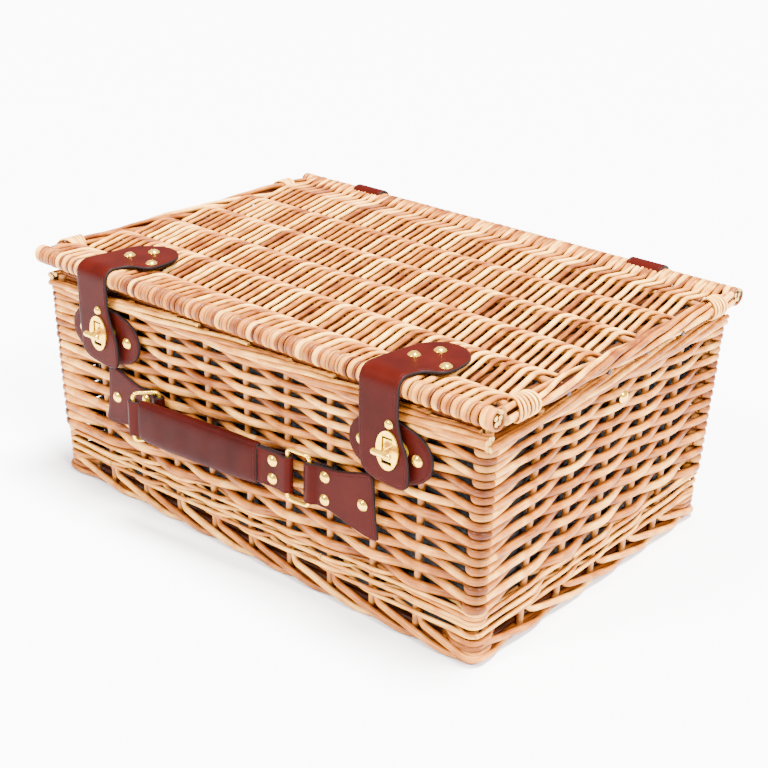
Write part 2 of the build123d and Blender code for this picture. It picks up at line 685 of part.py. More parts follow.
def make_all():
    nodes = {}
    patches, patch_rivets, patch_holes = make_clasp_patches()
    nodes["clasp_patch_rivets"] = patch_rivets
    wall_holes = {"front": patch_holes, "back": []}
    panel_slots = []
    pad_rivets = []
    tab_rivets = []
    hinge_rivets = []
    for name, sign in SIDES:
        x = sign * STRAP_X
        nodes[f"clasp_patch_{name}"] = patches[name]
        nodes[f"turnlock_base_{name}"], nodes[f"turn_button_{name}"] = make_turnlock(x)
        pad, pad_bases = make_strap_pad(name, x)
        nodes[f"strap_pad_{name}"] = pad
        pad_rivets += [leather_rivet(b, (0, 0, 1), PAD_RIVET_L) for b in pad_bases]
        flap, flap_y = make_flap(x)
        nodes[f"strap_flap_{name}"] = flap
        nodes[f"eyelet_plate_{name}"], eyelet_base = make_eyelet(x, flap_y)
        nodes[f"eyelet_rivet_{name}"] = rivet(eyelet_base, (0, -1, 0), EYELET_RIVET_R, EYELET_RIVET_DOME,
                                              EYELET_RIVET_SHANK_R, EYELET_RIVET_SHANK_L)
        tab, tab_bases, tab_holes = make_handle_tab(sign)
        nodes[f"handle_tab_{name}"] = tab
        tab_rivets += [leather_rivet(b, (0, -1, 0), TAB_RIVET_L) for b in tab_bases]
        wall_holes["front"] += tab_holes
        strap, slot, bases, holes = make_hinge_strap(sign * HINGE_STRAP_X)
        nodes[f"hinge_strap_{name}"] = strap
        panel_slots.append(slot)
        hinge_rivets += [leather_rivet(b, (0, 1, 0), HINGE_RIVET_L) for b in bases]
        wall_holes["back"] += holes
    nodes["strap_pad_rivets"] = group(pad_rivets)
    nodes["handle_tab_rivets"] = group(tab_rivets)
    nodes["hinge_strap_rivets"] = group(hinge_rivets)
    nodes["stay_studs"], stud_holes = make_studs()
    make_body(nodes, wall_holes, stud_holes)
    nodes["ring_left"] = make_ring(-1, RING_LEFT_DEG)
    nodes["ring_right"] = make_ring(1, RING_RIGHT_DEG)
    nodes["handle_strap"], nodes["handle_rivets"], nodes["handle_sleeve"] = make_handle()
    rolls, cores = make_rolls()
    nodes["lid_lashings"], lashing_slots = make_lashings()
    nodes["lid_panel"], nodes["lid_sticks"], borders = make_lid_panel(panel_slots + lashing_slots)
    for name, _ in SIDES:
        nodes[f"lid_border_{name}"] = borders[name]
    for name in ("front", "back"):
        nodes[f"lid_roll_{name}"] = rolls[name]
        nodes[f"lid_core_{name}"] = cores[name]
    nodes["lid_lining"] = make_lid_lining()
    return nodes


os.makedirs("parts", exist_ok=True)
for node, shape in make_all().items():
    export_step(shape, f"parts/{node}.step")
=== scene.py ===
import json
import math

import bmesh
import bpy
import numpy as np
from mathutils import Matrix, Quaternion, Vector
from mathutils.geometry import delaunay_2d_cdt


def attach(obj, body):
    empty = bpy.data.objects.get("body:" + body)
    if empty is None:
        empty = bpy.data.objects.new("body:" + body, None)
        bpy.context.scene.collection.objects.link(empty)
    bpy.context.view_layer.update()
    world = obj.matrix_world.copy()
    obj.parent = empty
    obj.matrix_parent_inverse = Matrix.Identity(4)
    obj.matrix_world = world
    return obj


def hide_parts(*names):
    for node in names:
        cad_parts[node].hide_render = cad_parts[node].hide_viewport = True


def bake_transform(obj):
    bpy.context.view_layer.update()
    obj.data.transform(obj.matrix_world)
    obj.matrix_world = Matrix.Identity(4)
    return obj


# Wicker picnic hamper. Sizes below are in millimetres, in the frame of the CAD model:
# X is the length, -Y the front with the clasps, +Z up, origin in the middle of the underside.

MM = 0.001
rng = np.random.default_rng(7)

# Woven body
WALL_T = 12.0
FOOT_Z = 12.0
WALL_TOP_Z = 168.0
LOW_HALF = (219.0, 152.0)
HIGH_HALF = (224.5, 156.5)
OUTLINE_R = 3.5
CORNER_RUN = 12.0
FRONT_STAKES = 9
FRONT_PITCH = 41.8
SIDE_STAKES = 5
SIDE_PITCH = 46.5
WEAVE_LOW_Z = 46.0
WEAVE_HIGH_Z = 165.5
WEAVE_ROWS = 19
WEAVER_R = 2.9
SWAY = 4.1
ROW_SPREAD = 0.19
POST_OUT = 4.2
# Painted shade on the wall weavers: an even amount, more where they pass inside the uprights, more at the
# corners
WALL_PAINTED_SHADE = 0.2
INSIDE_PAINTED_SHADE = 0.28
CORNER_PAINTED_SHADE = 0.62
WALE_LOW_Z = 21.0
WALE_ROWS = 3
WALE_PITCH = 8.2
WALE_R = 1.75
WALE_OUT = (-3.4, 2.6, 4.4)
WALE_RISE = (2.2, -2.4, 0.3)
BASE_HALF = (205.0, 139.0)
BASE_Z = 4.2
BASE_PITCH = 5.0
BASE_STICK_PITCH = 46.0

# Foot border rods, by distance run from the upright: place outwards and radius. Its corner wraps: heights
# and, by distance from the corner, place outwards
FOOT_OUT = ((-1, -1.0), (12, 4.0), (66, 5.4), (90, 2.4), (116, -4.0))
FOOT_R = ((0, 2.6), (45, 2.9), (116, 1.7))
FOOT_WRAP_Z = (3.6, 8.6, 13.4, 17.6)
FOOT_WRAP_OUT = ((-30, -3.5), (-14, 3.2), (14, 3.6), (30, -3.5))

# Rim border rods, by distance run from the upright: height, place outwards and radius. Its inner rods:
# height and place outwards
RIM_Z = ((-60, 168.5), (0, 168.5), (60, 171.6), (120, 175.8), (175, 178.4))
RIM_OUT = ((-60, 3.5), (0, 1.5), (30, 4.6), (90, 5.0), (175, 0.5))
RIM_R = ((-60, 2.3), (0, 2.35), (175, 1.75))
RIM_INNER = ((170.6, -4.2), (174.8, -4.6), (178.6, -3.4))

# Long rods inside the foot border: height, place outwards, radius and painted shade
INNER_FOOT_RODS = (
    (2.7, 1.4, 2.4, 0.2),
    (2.9, -2.6, 2.7, 0.25),
    (8.0, -4.6, 2.4, 0.6),
    (13.5, -5.0, 2.2, 0.6),
)

# Lid
LID_Z = 192.5
ROLL_Y = 155.5
ROLL_R = 7.5
WRAP_R = ROLL_R - 1.45
PANEL_HALF_L = 217.0
LID_STICKS = 6
LID_STICK_PITCH = 50.0
LID_STICK_Y = -7.0
LID_PITCH = 4.0
LID_ROD_R = 2.0
LID_SWAY = 4.0
LID_SHIFT = 7.0
BORDER_X = 225.6
BORDER_HALF_Y = 147.0
BORDER_RODS = 5
BORDER_R = 4.4
BORDER_TWIST = 250.0
LASHING_R = 7.7
LASHING_STRAND_R = 1.15
LASHING_PITCH = 3.1
LASHINGS = ((-134.0, 6), (116.0, 5))
ROLL_END_X = 229.4
CORE_ROD_R = 1.85
CORE_ROD_OFFSET = 1.9

# Leather and brass
LEATHER_T = 2.4
LEATHER_GRID = 2.6
STRAP_X = 149.0
STRAP_SHIFT = {"left": 0.5, "right": -3.0}
PAD_LOBE = {"left": 3.0, "right": 0.0}
PAD_TOP_Y = -92.0
PAD_Z = 200.3
BEND_R = 7.8
FLAP_BOTTOM_Z = 122.0
LOCK_Z = 148.5
PATCH_Z = 145.0
PATCH_X = {"left": -149.0, "right": 145.0}
PATCH_HALF_L = {"left": 39.5, "right": 36.5}
PATCH_HALF_H = 22.3
PATCH_Y = -157.2
SLOT_HALF = (4.5, 10.0)
HANDLE_X = -6.5
HANDLE_Z = 95.5
TAB_REACH = 79.5
TAB_Y = -160.4
LOOP_R = 4.2
TAB_BACK_Y = -156.2
RING_W = 20.0
RING_LEFT_DEG = 230.0
RING_RIGHT_DEG = 184.6
STRAP_W = 29.0
STRAP_T = 2.3
HANDLE_LOOP_R = 3.1
SLEEVE_START = 8.0
SLEEVE_L = 118.0
SLEEVE_HALF_H = 16.4
SLEEVE_HALF_T = 4.4
THIN_LEATHER_T = 2.2
HINGE_STRAP_X = 148.0
HINGE_STRAP_W = 32.0
HINGE_STRAP_LOW_Z = 138.2
HINGE_STRAP_INNER_Z = 184.8

# Cloth lining: the front left corner is rounder, so light shows through the weave in front of it
TUB_BASE_HALF = (205.0, 138.0)
TUB_BASE_Z = 9.3
TUB_HALF_L = (206.0, 210.6)
TUB_HALF_W = (139.0, 143.0)
TUB_LOW_Z = 11.0
TUB_TOP_Z = 166.0
TUB_CORNERS = ((1, 1, 12), (-1, 1, 12), (-1, -1, 38), (1, -1, 12))
TUB_SIDE_POINTS = 44
TUB_T = 0.8
LID_CLOTH_HALF = (213.0, 145.0)
LID_CLOTH_Z = 186.6
LID_CLOTH_T = 0.6

SIDES = (("left", -1), ("right", 1))

# Colours: willow from pale to deep, leather as its middle, dark and light tone
WILLOW_TONES = ((0.84, 0.46, 0.1), (0.43, 0.145, 0.017), (0.13, 0.03, 0.005))
HIDE_TONES = ((0.0265, 0.002, 0.001), (0.021, 0.0017, 0.0009), (0.031, 0.0025, 0.0013))
PADDED_TONES = ((0.019, 0.0017, 0.0011), (0.015, 0.0014, 0.0009), (0.023, 0.0022, 0.0014))

# Camera, in metres and degrees
CAMERA_PLACE = (0.6867, -0.8140, 0.5678)
CAMERA_AIM = (-0.1803, 0.2217, -0.0279)
CAMERA_ROLL = 1.69
CAMERA_LENS = 66.65

# Studio: half the floor's size in metres, the sky's strength as a light and as seen past the floor, and soft
# distant lights, each with its name, the place it shines from, its spread in degrees and its strength
FLOOR_HALF = 40.0
WORLD_LIGHT = 1.0
BACKDROP_LIGHT = 10.0
LIGHTS = (
    ("top_light", (0.15, 0.1, 1.0), 18, 27.0),
    ("right_light", (1.0, -0.25, 0.9), 14, 9.0),
    ("left_light", (-0.35, -1.0, 1.0), 14, 7.0),
)


# ---------------------------------------------------------------- mesh helpers

def spread(value, shape):
    """One value or a row of them, given this shape."""
    return np.broadcast_to(np.asarray(value, float), shape)


def unit(rows):
    """The same directions with length 1."""
    return rows / np.linalg.norm(rows, axis=-1, keepdims=True)


def run_along(points):
    """How far along its path each point lies."""
    return np.concatenate([[0], np.cumsum(np.linalg.norm(np.diff(points, axis=0), axis=1))])


def ring_quads(count, sides, closed=False):
    """Faces between rings of points, each ring joined to the next."""
    i = np.arange(count if closed else count - 1)[:, None] * sides
    j = np.arange(sides)[None, :]
    k = (j + 1) % sides
    after = (i + sides) % (count * sides)
    return np.stack([i + j, i + k, after + k, after + j], -1).reshape(-1, 4)


class Rods:
    """Gathers many swept rods into one mesh, with a tone, a cut-end mark, an amount of painted shade and a
    grain position for each.
    """

    def __init__(self):
        self.verts = []
        self.faces = []
        self.tone = []
        self.cut = []
        self.grain = []
        # painted shade for each point, read by the material
        self.dark = []
        self.total = 0

    def add(self, points, wide, tall=None, up=(0, 0, 1), tone=None, sides=8, caps=True, face=None, deep=0.0,
            cut=1.0):
        """Sweeps an oval: tall is its half size towards up, wide its half size across.

        face points outwards from the wickerwork: the rod gets painted shade on its sides turned away from
        it.
        deep adds more painted shade where the rod runs hidden."""
        points = np.asarray(points, float)
        count = len(points)
        wide = spread(wide, count)
        tall = wide if tall is None else spread(tall, count)
        along = unit(np.gradient(points, axis=0))
        up = spread(up, points.shape)
        first = unit(up - (up * along).sum(1)[:, None] * along)
        second = np.cross(along, first)
        turn = np.arange(sides) / sides * 2 * math.pi
        ring = (points[:, None, :]
                + first[:, None, :] * (tall[:, None] * np.cos(turn))[..., None]
                + second[:, None, :] * (wide[:, None] * np.sin(turn))[..., None])
        tone = spread(rng.random() if tone is None else tone, count)
        seed = rng.random() * 50
        self.verts.append(ring.reshape(-1, 3))
        self.tone.append(np.repeat(tone, sides))
        self.cut.append(np.zeros(count * sides))
        # Painted shade: without a face the rod gets an even amount, with one it darkens on the sides turned
        # away from the outside; deep adds more
        if face is None:
            hidden = np.full((count, sides), 0.15)
        else:
            radial = unit(ring - points[:, None, :])
            outwards = (radial * spread(face, points.shape)[:, None, :]).sum(2)
            hidden = 0.5 * np.clip(0.72 - outwards, 0, 1.3)
        hidden = hidden + spread(deep, count)[:, None]
        self.dark.append(np.clip(hidden, 0, 1).ravel())
        run = np.repeat(run_along(points), sides)
        angle = np.tile(turn, count)
        self.grain.append(np.stack([run, np.cos(angle) * 3 + seed, np.sin(angle) * 3], 1))
        self.faces.extend((ring_quads(count, sides) + self.total).tolist())
        self.total += count * sides
        if caps:
            self.close(ring[0], points[0], -along[0], tone[0], seed, True, cut)
            self.close(ring[-1], points[-1], along[-1], tone[-1], seed, False, cut)

    def lay(self, q, out, z, *sizes, **marks):
        """A rod round the body, facing outwards."""
        points = around(q, out, z)
        self.add(points, *sizes, face=around(q, out + 1, z) - points, **marks)

    def close(self, ring, centre, direction, tone, seed, start, cut):
        """Closes one end with its own points, marked as a cut end."""
        sides = len(ring)
        # Painted shade: an end gets the more of it the less it is marked as cut
        self.dark.append(np.full(sides + 1, 1.0 - cut))
        size = np.linalg.norm(ring[0] - centre)
        self.verts.append(np.vstack([ring, centre + direction * size * 0.15]))
        self.tone.append(np.full(sides + 1, tone))
        self.cut.append(np.full(sides + 1, cut))
        self.grain.append(np.vstack([ring, centre]) + seed)
        for j in range(sides):
            pair = [self.total + j, self.total + (j + 1) % sides]
            self.faces.append((pair[::-1] if start else pair) + [self.total + sides])
        self.total += sides + 1

    def build(self, name, material):
        mesh = bpy.data.meshes.new(name)
        mesh.from_pydata((np.vstack(self.verts) * MM).tolist(), [], self.faces)
        for key, values in (("rod_tone", self.tone), ("rod_cut", self.cut), ("rod_painted_shade", self.dark)):
            add_marks(mesh, key, np.concatenate(values))
        grain = mesh.attributes.new("rod_grain", "FLOAT_VECTOR", "POINT")
        grain.data.foreach_set("vector", np.vstack(self.grain).astype(np.float32).ravel())
        return finish_mesh(name, mesh, material)


def add_marks(mesh, key, values):
    """Stores one number per point for the materials to read."""
    attribute = mesh.attributes.new(key, "FLOAT", "POINT")
    attribute.data.foreach_set("value", np.asarray(values, np.float32))


def finish_mesh(name, mesh, material):
    mesh.polygons.foreach_set("use_smooth", [True] * len(mesh.polygons))
    mesh.materials.append(material)
    mesh.update()
    piece = bpy.data.objects.new(name, mesh)
    bpy.context.scene.collection.objects.link(piece)
    return piece


def drop_loose(piece):
    """Removes points that no face uses and turns every face outwards."""
    shape = bmesh.new()
    shape.from_mesh(piece.data)
    bmesh.ops.delete(shape, geom=[v for v in shape.verts if not v.link_faces], context="VERTS")
    bmesh.ops.recalc_face_normals(shape, faces=shape.faces)
    shape.to_mesh(piece.data)
    shape.free()


def loft(name, rings, material, closed=False, last=True, edge=None):
    """A mesh through rings of points: joined end to end, or with a face over its first and its last ring."""
    count, sides = rings.shape[:2]
    faces = ring_quads(count, sides, closed).tolist()
    if not closed:
        faces.append(list(reversed(range(sides))))
    if not closed and last:
        faces.append(list(range((count - 1) * sides, count * sides)))
    mesh = bpy.data.meshes.new(name)
    mesh.from_pydata((rings.reshape(-1, 3) * MM).tolist(), [], faces)
    if edge is not None:
        add_marks(mesh, "edge_mm", edge)
    return finish_mesh(name, mesh, material)


def thicken(piece, thickness, offset):
    """Gives a sheet its thickness."""
    thick = piece.modifiers.new("thickness", "SOLIDIFY")
    thick.thickness = thickness * MM
    thick.offset = offset
    depsgraph = bpy.context.evaluated_depsgraph_get()
    mesh = bpy.data.meshes.new_from_object(piece.evaluated_get(depsgraph))
    piece.modifiers.clear()
    piece.data = mesh


def spokes(turn, axis):
    """Unit vectors at these angles round an axis, 0 for X and 1 for Y."""
    arms = np.zeros((len(turn), 3))
    arms[:, 1 - axis] = np.cos(turn)
    arms[:, 2] = np.sin(turn)
    return arms


def ease(values, stations):
    """Smooth steps through (place, value) stations, level at each station."""
    places = np.array([s[0] for s in stations], float)
    heights = np.array([s[1] for s in stations], float)
    values = np.asarray(values, float)
    i = np.clip(np.searchsorted(places, values, side="right") - 1, 0, len(places) - 2)
    t = np.clip((values - places[i]) / (places[i + 1] - places[i]), 0, 1)
    w = (1 - np.cos(math.pi * t)) / 2
    return heights[i] + (heights[i + 1] - heights[i]) * w


def wander(values, size, length):
    """A gentle seeded waviness along a rod."""
    values = np.asarray(values, float)
    total = np.zeros(values.shape)
    for k in (1.0, 2.3, 4.1):
        total += np.sin(values / length * k * 2 * math.pi + rng.random() * 9) / k
    return total * size / 1.6


def oval(turn, half, power):
    """The two coordinates of a rounded box; half sizes and powers for each, and a lower power is squarer."""
    return [np.sign(f(turn)) * np.abs(f(turn)) ** p * h for f, h, p in zip((np.cos, np.sin), half, power)]


def laid_along(path):
    """Where leather lies when laid along a planar path, as a function of run and height, and its length."""
    path = np.asarray(path, float)
    run = run_along(path)
    step = unit(np.gradient(path, axis=0))
    normal = np.stack([-step[:, 1], step[:, 0]], -1)

    def spot(u, h):
        return [np.interp(u, run, path[:, k]) + np.interp(u, run, normal[:, k]) * h for k in (0, 1)]
    return spot, run[-1]


def rounded(points, steps):
    """A closed smooth outline through the given points."""
    points = np.asarray(points, float)
    result = []
    count = len(points)
    for i in range(count):
        a, b, c, d = (points[(i + k - 1) % count] for k in range(4))
        for s in range(steps):
            t = s / steps
            result.append(0.5 * (2 * b + (c - a) * t + (2 * a - 5 * b + 4 * c - d) * t * t
                                 + (3 * b - a - 3 * c + d) * t ** 3))
    return np.array(result)


# ---------------------------------------------------------------- the basket's outline

def half_size(z):
    """Half length and half width of the uprights' outline at a height, without its rounded corners."""
    t = (np.asarray(z, float) - FOOT_Z) / (WALL_TOP_Z - FOOT_Z)
    half_l = LOW_HALF[0] + (HIGH_HALF[0] - LOW_HALF[0]) * t
    half_w = LOW_HALF[1] + (HIGH_HALF[1] - LOW_HALF[1]) * t
    return half_l - WALL_T / 2 - OUTLINE_R, half_w - WALL_T / 2 - OUTLINE_R


STRAIGHTS = [2 * float(v) for v in half_size(WALL_TOP_Z)]
RUNS = [STRAIGHTS[0], STRAIGHTS[1], STRAIGHTS[0], STRAIGHTS[1]]
STARTS = [sum(RUNS[:i]) + CORNER_RUN * i for i in range(5)]
CORNERS = [start + run + CORNER_RUN / 2 for start, run in zip(STARTS, RUNS)]
ROUND = STARTS[4]


def around(q, out, z):
    """Points on the body: q runs counter-clockwise from the front's left end, out is outwards."""
    q = np.asarray(q, float) % ROUND
    out = spread(out, q.shape)
    z = spread(z, q.shape)
    half_l, half_w = half_size(z)
    wall = np.searchsorted(np.array(STARTS[1:4]), q, side="right")
    local = q - np.array(STARTS)[wall]
    run = np.array(RUNS)[wall]
    share = np.clip(local / run, 0, 1) * 2 - 1
    turn = np.clip((local - run) / CORNER_RUN, 0, 1) * math.pi / 2
    half_run = np.where(wall % 2 == 0, half_l, half_w)
    half_out = np.where(wall % 2 == 0, half_w, half_l)
    along = share * half_run + np.sin(turn) * (OUTLINE_R + out)
    away = half_out + np.cos(turn) * (OUTLINE_R + out)
    angle = wall * math.pi / 2
    x = along * np.cos(angle) + away * np.sin(angle)
    y = along * np.sin(angle) - away * np.cos(angle)
    return np.stack([x, y, z], -1)


def stake_places():
    """Place of every upright along the outline, in order, with its wall's number."""
    places = []
    for wall in range(4):
        count, pitch = ((FRONT_STAKES, FRONT_PITCH), (SIDE_STAKES, SIDE_PITCH))[wall % 2]
        middle = STARTS[wall] + RUNS[wall] / 2
        places += [(middle + (i - (count - 1) / 2) * pitch, wall) for i in range(count)]
    return places


STAKES = stake_places()


def wall_samples(wall):
    """Sample places along one wall and the corner after it."""
    start = STARTS[wall]
    end = start + RUNS[wall]
    straight = np.linspace(start, end, int(RUNS[wall] / 2.3))
    near = np.linspace(end - 12, end, 14)
    corner = np.linspace(end, end + CORNER_RUN, 11)
    return np.unique(np.concatenate([straight, near, corner]))


# ---------------------------------------------------------------- woven body

def row_stations(row):
    """Where one weaver goes outside and inside the uprights, all the way round."""
    stations = []
    for i, (place, wall) in enumerate(STAKES):
        outside = (i + row) % 2 == 0
        stations.append((place, SWAY if outside else -SWAY))
        last = i + 1 == len(STAKES) or STAKES[i + 1][1] != wall
        if last:
            corner = STARTS[wall] + RUNS[wall]
            if outside:
                stations.append((corner - 8.5, -3.2))
            stations.append((corner + 1.0, POST_OUT))
            stations.append((corner + CORNER_RUN, POST_OUT - 0.3))
    first = (stations[0][0] + ROUND, stations[0][1])
    before = (stations[-1][0] - ROUND, stations[-1][1])
    return [before] + stations + [first]


def row_heights():
    """Heights of the rows: the lower rows are thicker and further apart."""
    share = np.arange(WEAVE_ROWS) / (WEAVE_ROWS - 1)
    eased = share * (1 + ROW_SPREAD) - ROW_SPREAD * share ** 2
    return WEAVE_LOW_Z + (WEAVE_HIGH_Z - WEAVE_LOW_Z) * eased


def weave_walls(material):
    """Rows of weavers that pass in front of one upright and behind the next, all round the body."""
    walls = [Rods() for _ in range(4)]
    heights = row_heights()
    for row, height in enumerate(heights):
        stations = row_stations(row)
        pitch = heights[min(row + 1, WEAVE_ROWS - 1)] - heights[min(row, WEAVE_ROWS - 2)]
        thick = WEAVER_R * np.clip(pitch / 6.6, 0.82, 1.16)
        joins = np.sort(rng.random(3) * ROUND)
        tones = rng.random(4) * 0.8 + 0.1
        drift = wander(np.linspace(0, ROUND, 400), 0.45, ROUND / 5)
        for wall in range(4):
            q = wall_samples(wall)
            out = ease(q, stations) + np.interp(q, np.linspace(0, ROUND, 400), drift[::-1]) * 0.6
            z = height + np.interp(q, np.linspace(0, ROUND, 400), drift)
            piece = np.searchsorted(joins, q)
            since = (q - np.concatenate([[0], joins])[piece]) / 420.0
            radius = thick * (1.03 - 0.13 * np.clip(since, 0, 1))
            near = np.clip(1 - np.abs(q - CORNERS[wall]) / 16, 0, 1)
            tall = radius * (1.16 + 0.02 * near)
            # Painted shade: weavers are painted darker where they pass behind the uprights and near the
            # corners
            inner = np.clip(-out / SWAY, -1, 1)
            deep = WALL_PAINTED_SHADE + INSIDE_PAINTED_SHADE * inner + CORNER_PAINTED_SHADE * near
            walls[wall].lay(q, out, z, radius, tall, tone=tones[piece], caps=False, sides=10, deep=deep)
    names = ("weave_front_rods", "weave_right_rods", "weave_back_rods", "weave_left_rods")
    return [rods.build(name, material) for rods, name in zip(walls, names)]


def wale(material):
    """Thinner rods worked in threes: each passes outside two uprights and inside the third."""
    rods = Rods()
    count = len(STAKES)
    for row in range(WALE_ROWS):
        for strand in range(3):
            stations = []
            rises = []
            for i in range(-3, count + 4):
                place = STAKES[i % count][0] + (i // count) * ROUND
                phase = (i + strand + row) % 3
                stations.append((place, WALE_OUT[phase]))
                rises.append((place, WALE_RISE[phase]))
            start = STAKES[0][0] - 30 + strand * 17 + row * 260
            q = np.arange(start, start + ROUND, 3.0)
            shifted = np.where(q > STAKES[-1][0] + 60, q - ROUND, q)
            gap = np.min([np.abs(q % ROUND - corner) for corner in CORNERS], axis=0)
            corner = np.clip(1 - (gap - 7) / 12, 0, 1)
            out = ease(shifted, stations) * (1 - corner) + (POST_OUT - 0.5) * corner
            height = WALE_LOW_Z + row * WALE_PITCH + 2.0 + strand * 0.9
            z = height + ease(shifted, rises) + wander(q, 0.4, 240)
            radius = WALE_R * (1 + 0.12 * np.sin(q / 90 + strand * 2))
            # Painted shade: the rod is painted darker where it passes inside the uprights
            deep = 0.14 - 0.07 * out / SWAY
            rods.lay(q, out, z, radius, tone=0.3 + 0.6 * rng.random(), sides=8, deep=deep)
    return rods.build("wale_rods", material)


def foot_border(material):
    """From each upright a rod bends down to the right and runs on along the bottom edge, getting thinner."""
    rods = Rods()
    for place in sorted([p for p, _ in STAKES] + CORNERS):
        run = np.arange(0, FOOT_OUT[-1][0], 2.4)
        q = place + 1 + run
        z = 3.0 + 15.0 * np.clip(1 - run / 78, 0, 1) ** 1.35 + 5.0 * np.clip(1 - run / 7, 0, 1)
        out = ease(run, FOOT_OUT)
        radius = ease(run, FOOT_R) * (0.94 + 0.12 * rng.random())
        z = np.maximum(z + wander(run, 0.25, 90), radius + 0.1)
        # Painted shade: a little on these rods, more on the corner wraps and the inner rods below
        rods.lay(q, out, z, radius, tone=0.25 + 0.6 * rng.random(), sides=9, deep=0.08)
    for corner in CORNERS:
        for height in FOOT_WRAP_Z:
            run = np.arange(-30, 31, 2.0)
            out = ease(run, FOOT_WRAP_OUT)
            z = height + wander(run, 0.3, 60)
            rods.lay(corner + run, out, z, 2.2, 2.5, tone=0.2 + 0.6 * rng.random(), sides=9, deep=0.27)
    for z, out, radius, deep in INNER_FOOT_RODS:
        q = np.linspace(0, ROUND, 500)
        rods.add(around(q, out, z + wander(q, 0.2, 300)), radius, tone=0.3, sides=7, caps=False, deep=deep)
    return rods.build("foot_border_rods", material)


def rim_border(material):
    """Long rods laid one over the other along each side, cut off at the corners."""
    rods = Rods()
    for wall in range(4):
        start = STARTS[wall]
        end = start + RUNS[wall]
        places = [p for p, w in STAKES if w == wall]
        for place in [start - 30, start - 4] + places:
            for pair in range(2):
                begin = max(place + pair * 9, start - 7)
                finish = min(place + 4.1 * FRONT_PITCH, end + 8)
                if finish - begin < 25:
                    continue
                q = np.arange(begin, finish, 3.0)
                run = q - place
                out = ease(run, RIM_OUT) - pair * 3.2
                z = ease(run, RIM_Z) - pair + wander(q, 0.35, 150)
                radius = ease(run, RIM_R)
                inner = np.clip(q, start, end)
                points = around(inner, out, z)
                angle = wall * math.pi / 2
                beyond = (q - inner)[:, None] * np.array([math.cos(angle), math.sin(angle), 0])
                # Painted shade: the face leans upwards, so each rod is painted darker on its underside
                face = unit(around(inner, out + 1, z) - points + (0, 0, 0.6))
                rods.add(points + beyond, radius, tone=0.2 + 0.75 * rng.random(), sides=9, face=face)
        for z, out in RIM_INNER:
            q = np.linspace(start, end, 120)
            # The inner rods get more painted shade
            rods.add(around(q, out, z + wander(q, 0.3, 160)), 2.1, tone=0.4, sides=7, deep=0.35)
    return rods.build("rim_border_rods", material)


def base_weave(material):
    """Short rods across the base, woven over and under its sticks."""
    rods = Rods()
    half_l, half_w = BASE_HALF
    for k, x in enumerate(np.arange(-half_l + 3, half_l - 2, BASE_PITCH)):
        y = np.linspace(-half_w, half_w, 70)
        stations = [(-half_w - 1, 0.0)]
        stations += [((i - 2) * BASE_STICK_PITCH, 1.4 if (i + k) % 2 else -1.4) for i in range(5)]
        stations.append((half_w + 1, 0.0))
        z = BASE_Z + ease(y, stations)
        points = np.stack([x + wander(y, 0.4, 120), y, z], -1)
        rods.add(points, 2.3, 1.9, up=(0, 0, 1), tone=rng.random() * 0.7, sides=7)
    return rods.build("base_weave_rods", material)


# ---------------------------------------------------------------- lid

def lid_stick_places():
    """The y place of each stick the lid is woven on."""
    return [LID_STICK_Y + (i - (LID_STICKS - 1) / 2) * LID_STICK_PITCH for i in range(LID_STICKS)]


def lid_weaver(x, phase):
    """One lid weaver: wraps the back roll, goes over and under the sticks, wraps the front roll."""
    front = np.radians(np.arange(305, 74, -10))
    back = np.radians(np.arange(105, -126, -10))
    y = np.arange(-ROLL_Y + 6.5, ROLL_Y - 6.0, 2.6)
    stations = [(-ROLL_Y + 1.6, WRAP_R - 0.2)]
    shifts = [(-ROLL_Y + 1.6, 0.0)]
    places = lid_stick_places()
    for i, place in enumerate(places):
        side = 1 if (i + phase) % 2 == 0 else -1
        stations.append((place, side * LID_SWAY))
        if side > 0:
            shifts.append((place - 3.0, -LID_SHIFT / 2))
            shifts.append((place + 0.26 * LID_STICK_PITCH, LID_SHIFT / 2))
        else:
            shifts.append((place, LID_SHIFT / 2))
        if i + 1 < len(places):
            stations.append((place + 0.34 * LID_STICK_PITCH, -side * 1.5))
    stations.append((ROLL_Y - 1.6, WRAP_R - 0.2))
    shifts.append((ROLL_Y - 1.6, 0.0))
    z = ease(y, stations)
    lean = wander(y, 0.35, 160) + np.interp(y, *np.array(shifts).T)
    ys = np.concatenate([WRAP_R * np.cos(front) - ROLL_Y, y, WRAP_R * np.cos(back) + ROLL_Y])
    zs = np.concatenate([WRAP_R * np.sin(front), z, WRAP_R * np.sin(back)])
    xs = x + np.concatenate([np.linspace(-1.6, 0, len(front)), lean, np.linspace(0, 1.6, len(back))])
    level = np.clip((np.abs(y) - 125) / 22, 0, 1)
    flat = np.concatenate([np.ones(len(front)), level, np.ones(len(back))])
    face = np.vstack([spokes(front, 0), np.tile([0, 0, 1], (len(y), 1)), spokes(back, 0)])
    # Painted shade: rods are painted darker the lower they dip under the sticks; the wraps round the rolls
    # get a set amount, more on every second weaver
    wrap_painted_shade = 0.1 + 0.35 * phase
    deep = np.clip(0.24 - z / 3.6, 0, 0.85)
    deep = np.concatenate([np.full(len(front), wrap_painted_shade), deep, np.full(len(back), wrap_painted_shade)])
    return np.stack([xs, ys, LID_Z + zs], -1), flat, face, deep


def lid_weave(material):
    """All the lid's weavers, in a left and a right half: every second one is thicker."""
    halves = [Rods(), Rods()]
    count = int(2 * PANEL_HALF_L / LID_PITCH) + 1
    for k in range(count):
        x = -PANEL_HALF_L + k * LID_PITCH + rng.normal() * 0.22
        points, flat, face, deep = lid_weaver(x, k % 2)
        radius = LID_ROD_R * (0.86 + 0.24 * rng.random())
        share = 1.38 if k % 2 == 0 else 0.62
        wide = radius * (1.16 * (1 - flat) + share * flat)
        tall = radius * (0.88 * (1 - flat) + (0.5 + 0.16 * share) * flat)
        half = halves[0 if x < 0 else 1]
        half.add(points, tall, wide, up=(1, 0, 0), tone=rng.random(), sides=10, face=face, deep=deep)
    return [half.build(f"lid_weave_{side}_rods", material) for half, (side, _) in zip(halves, SIDES)]


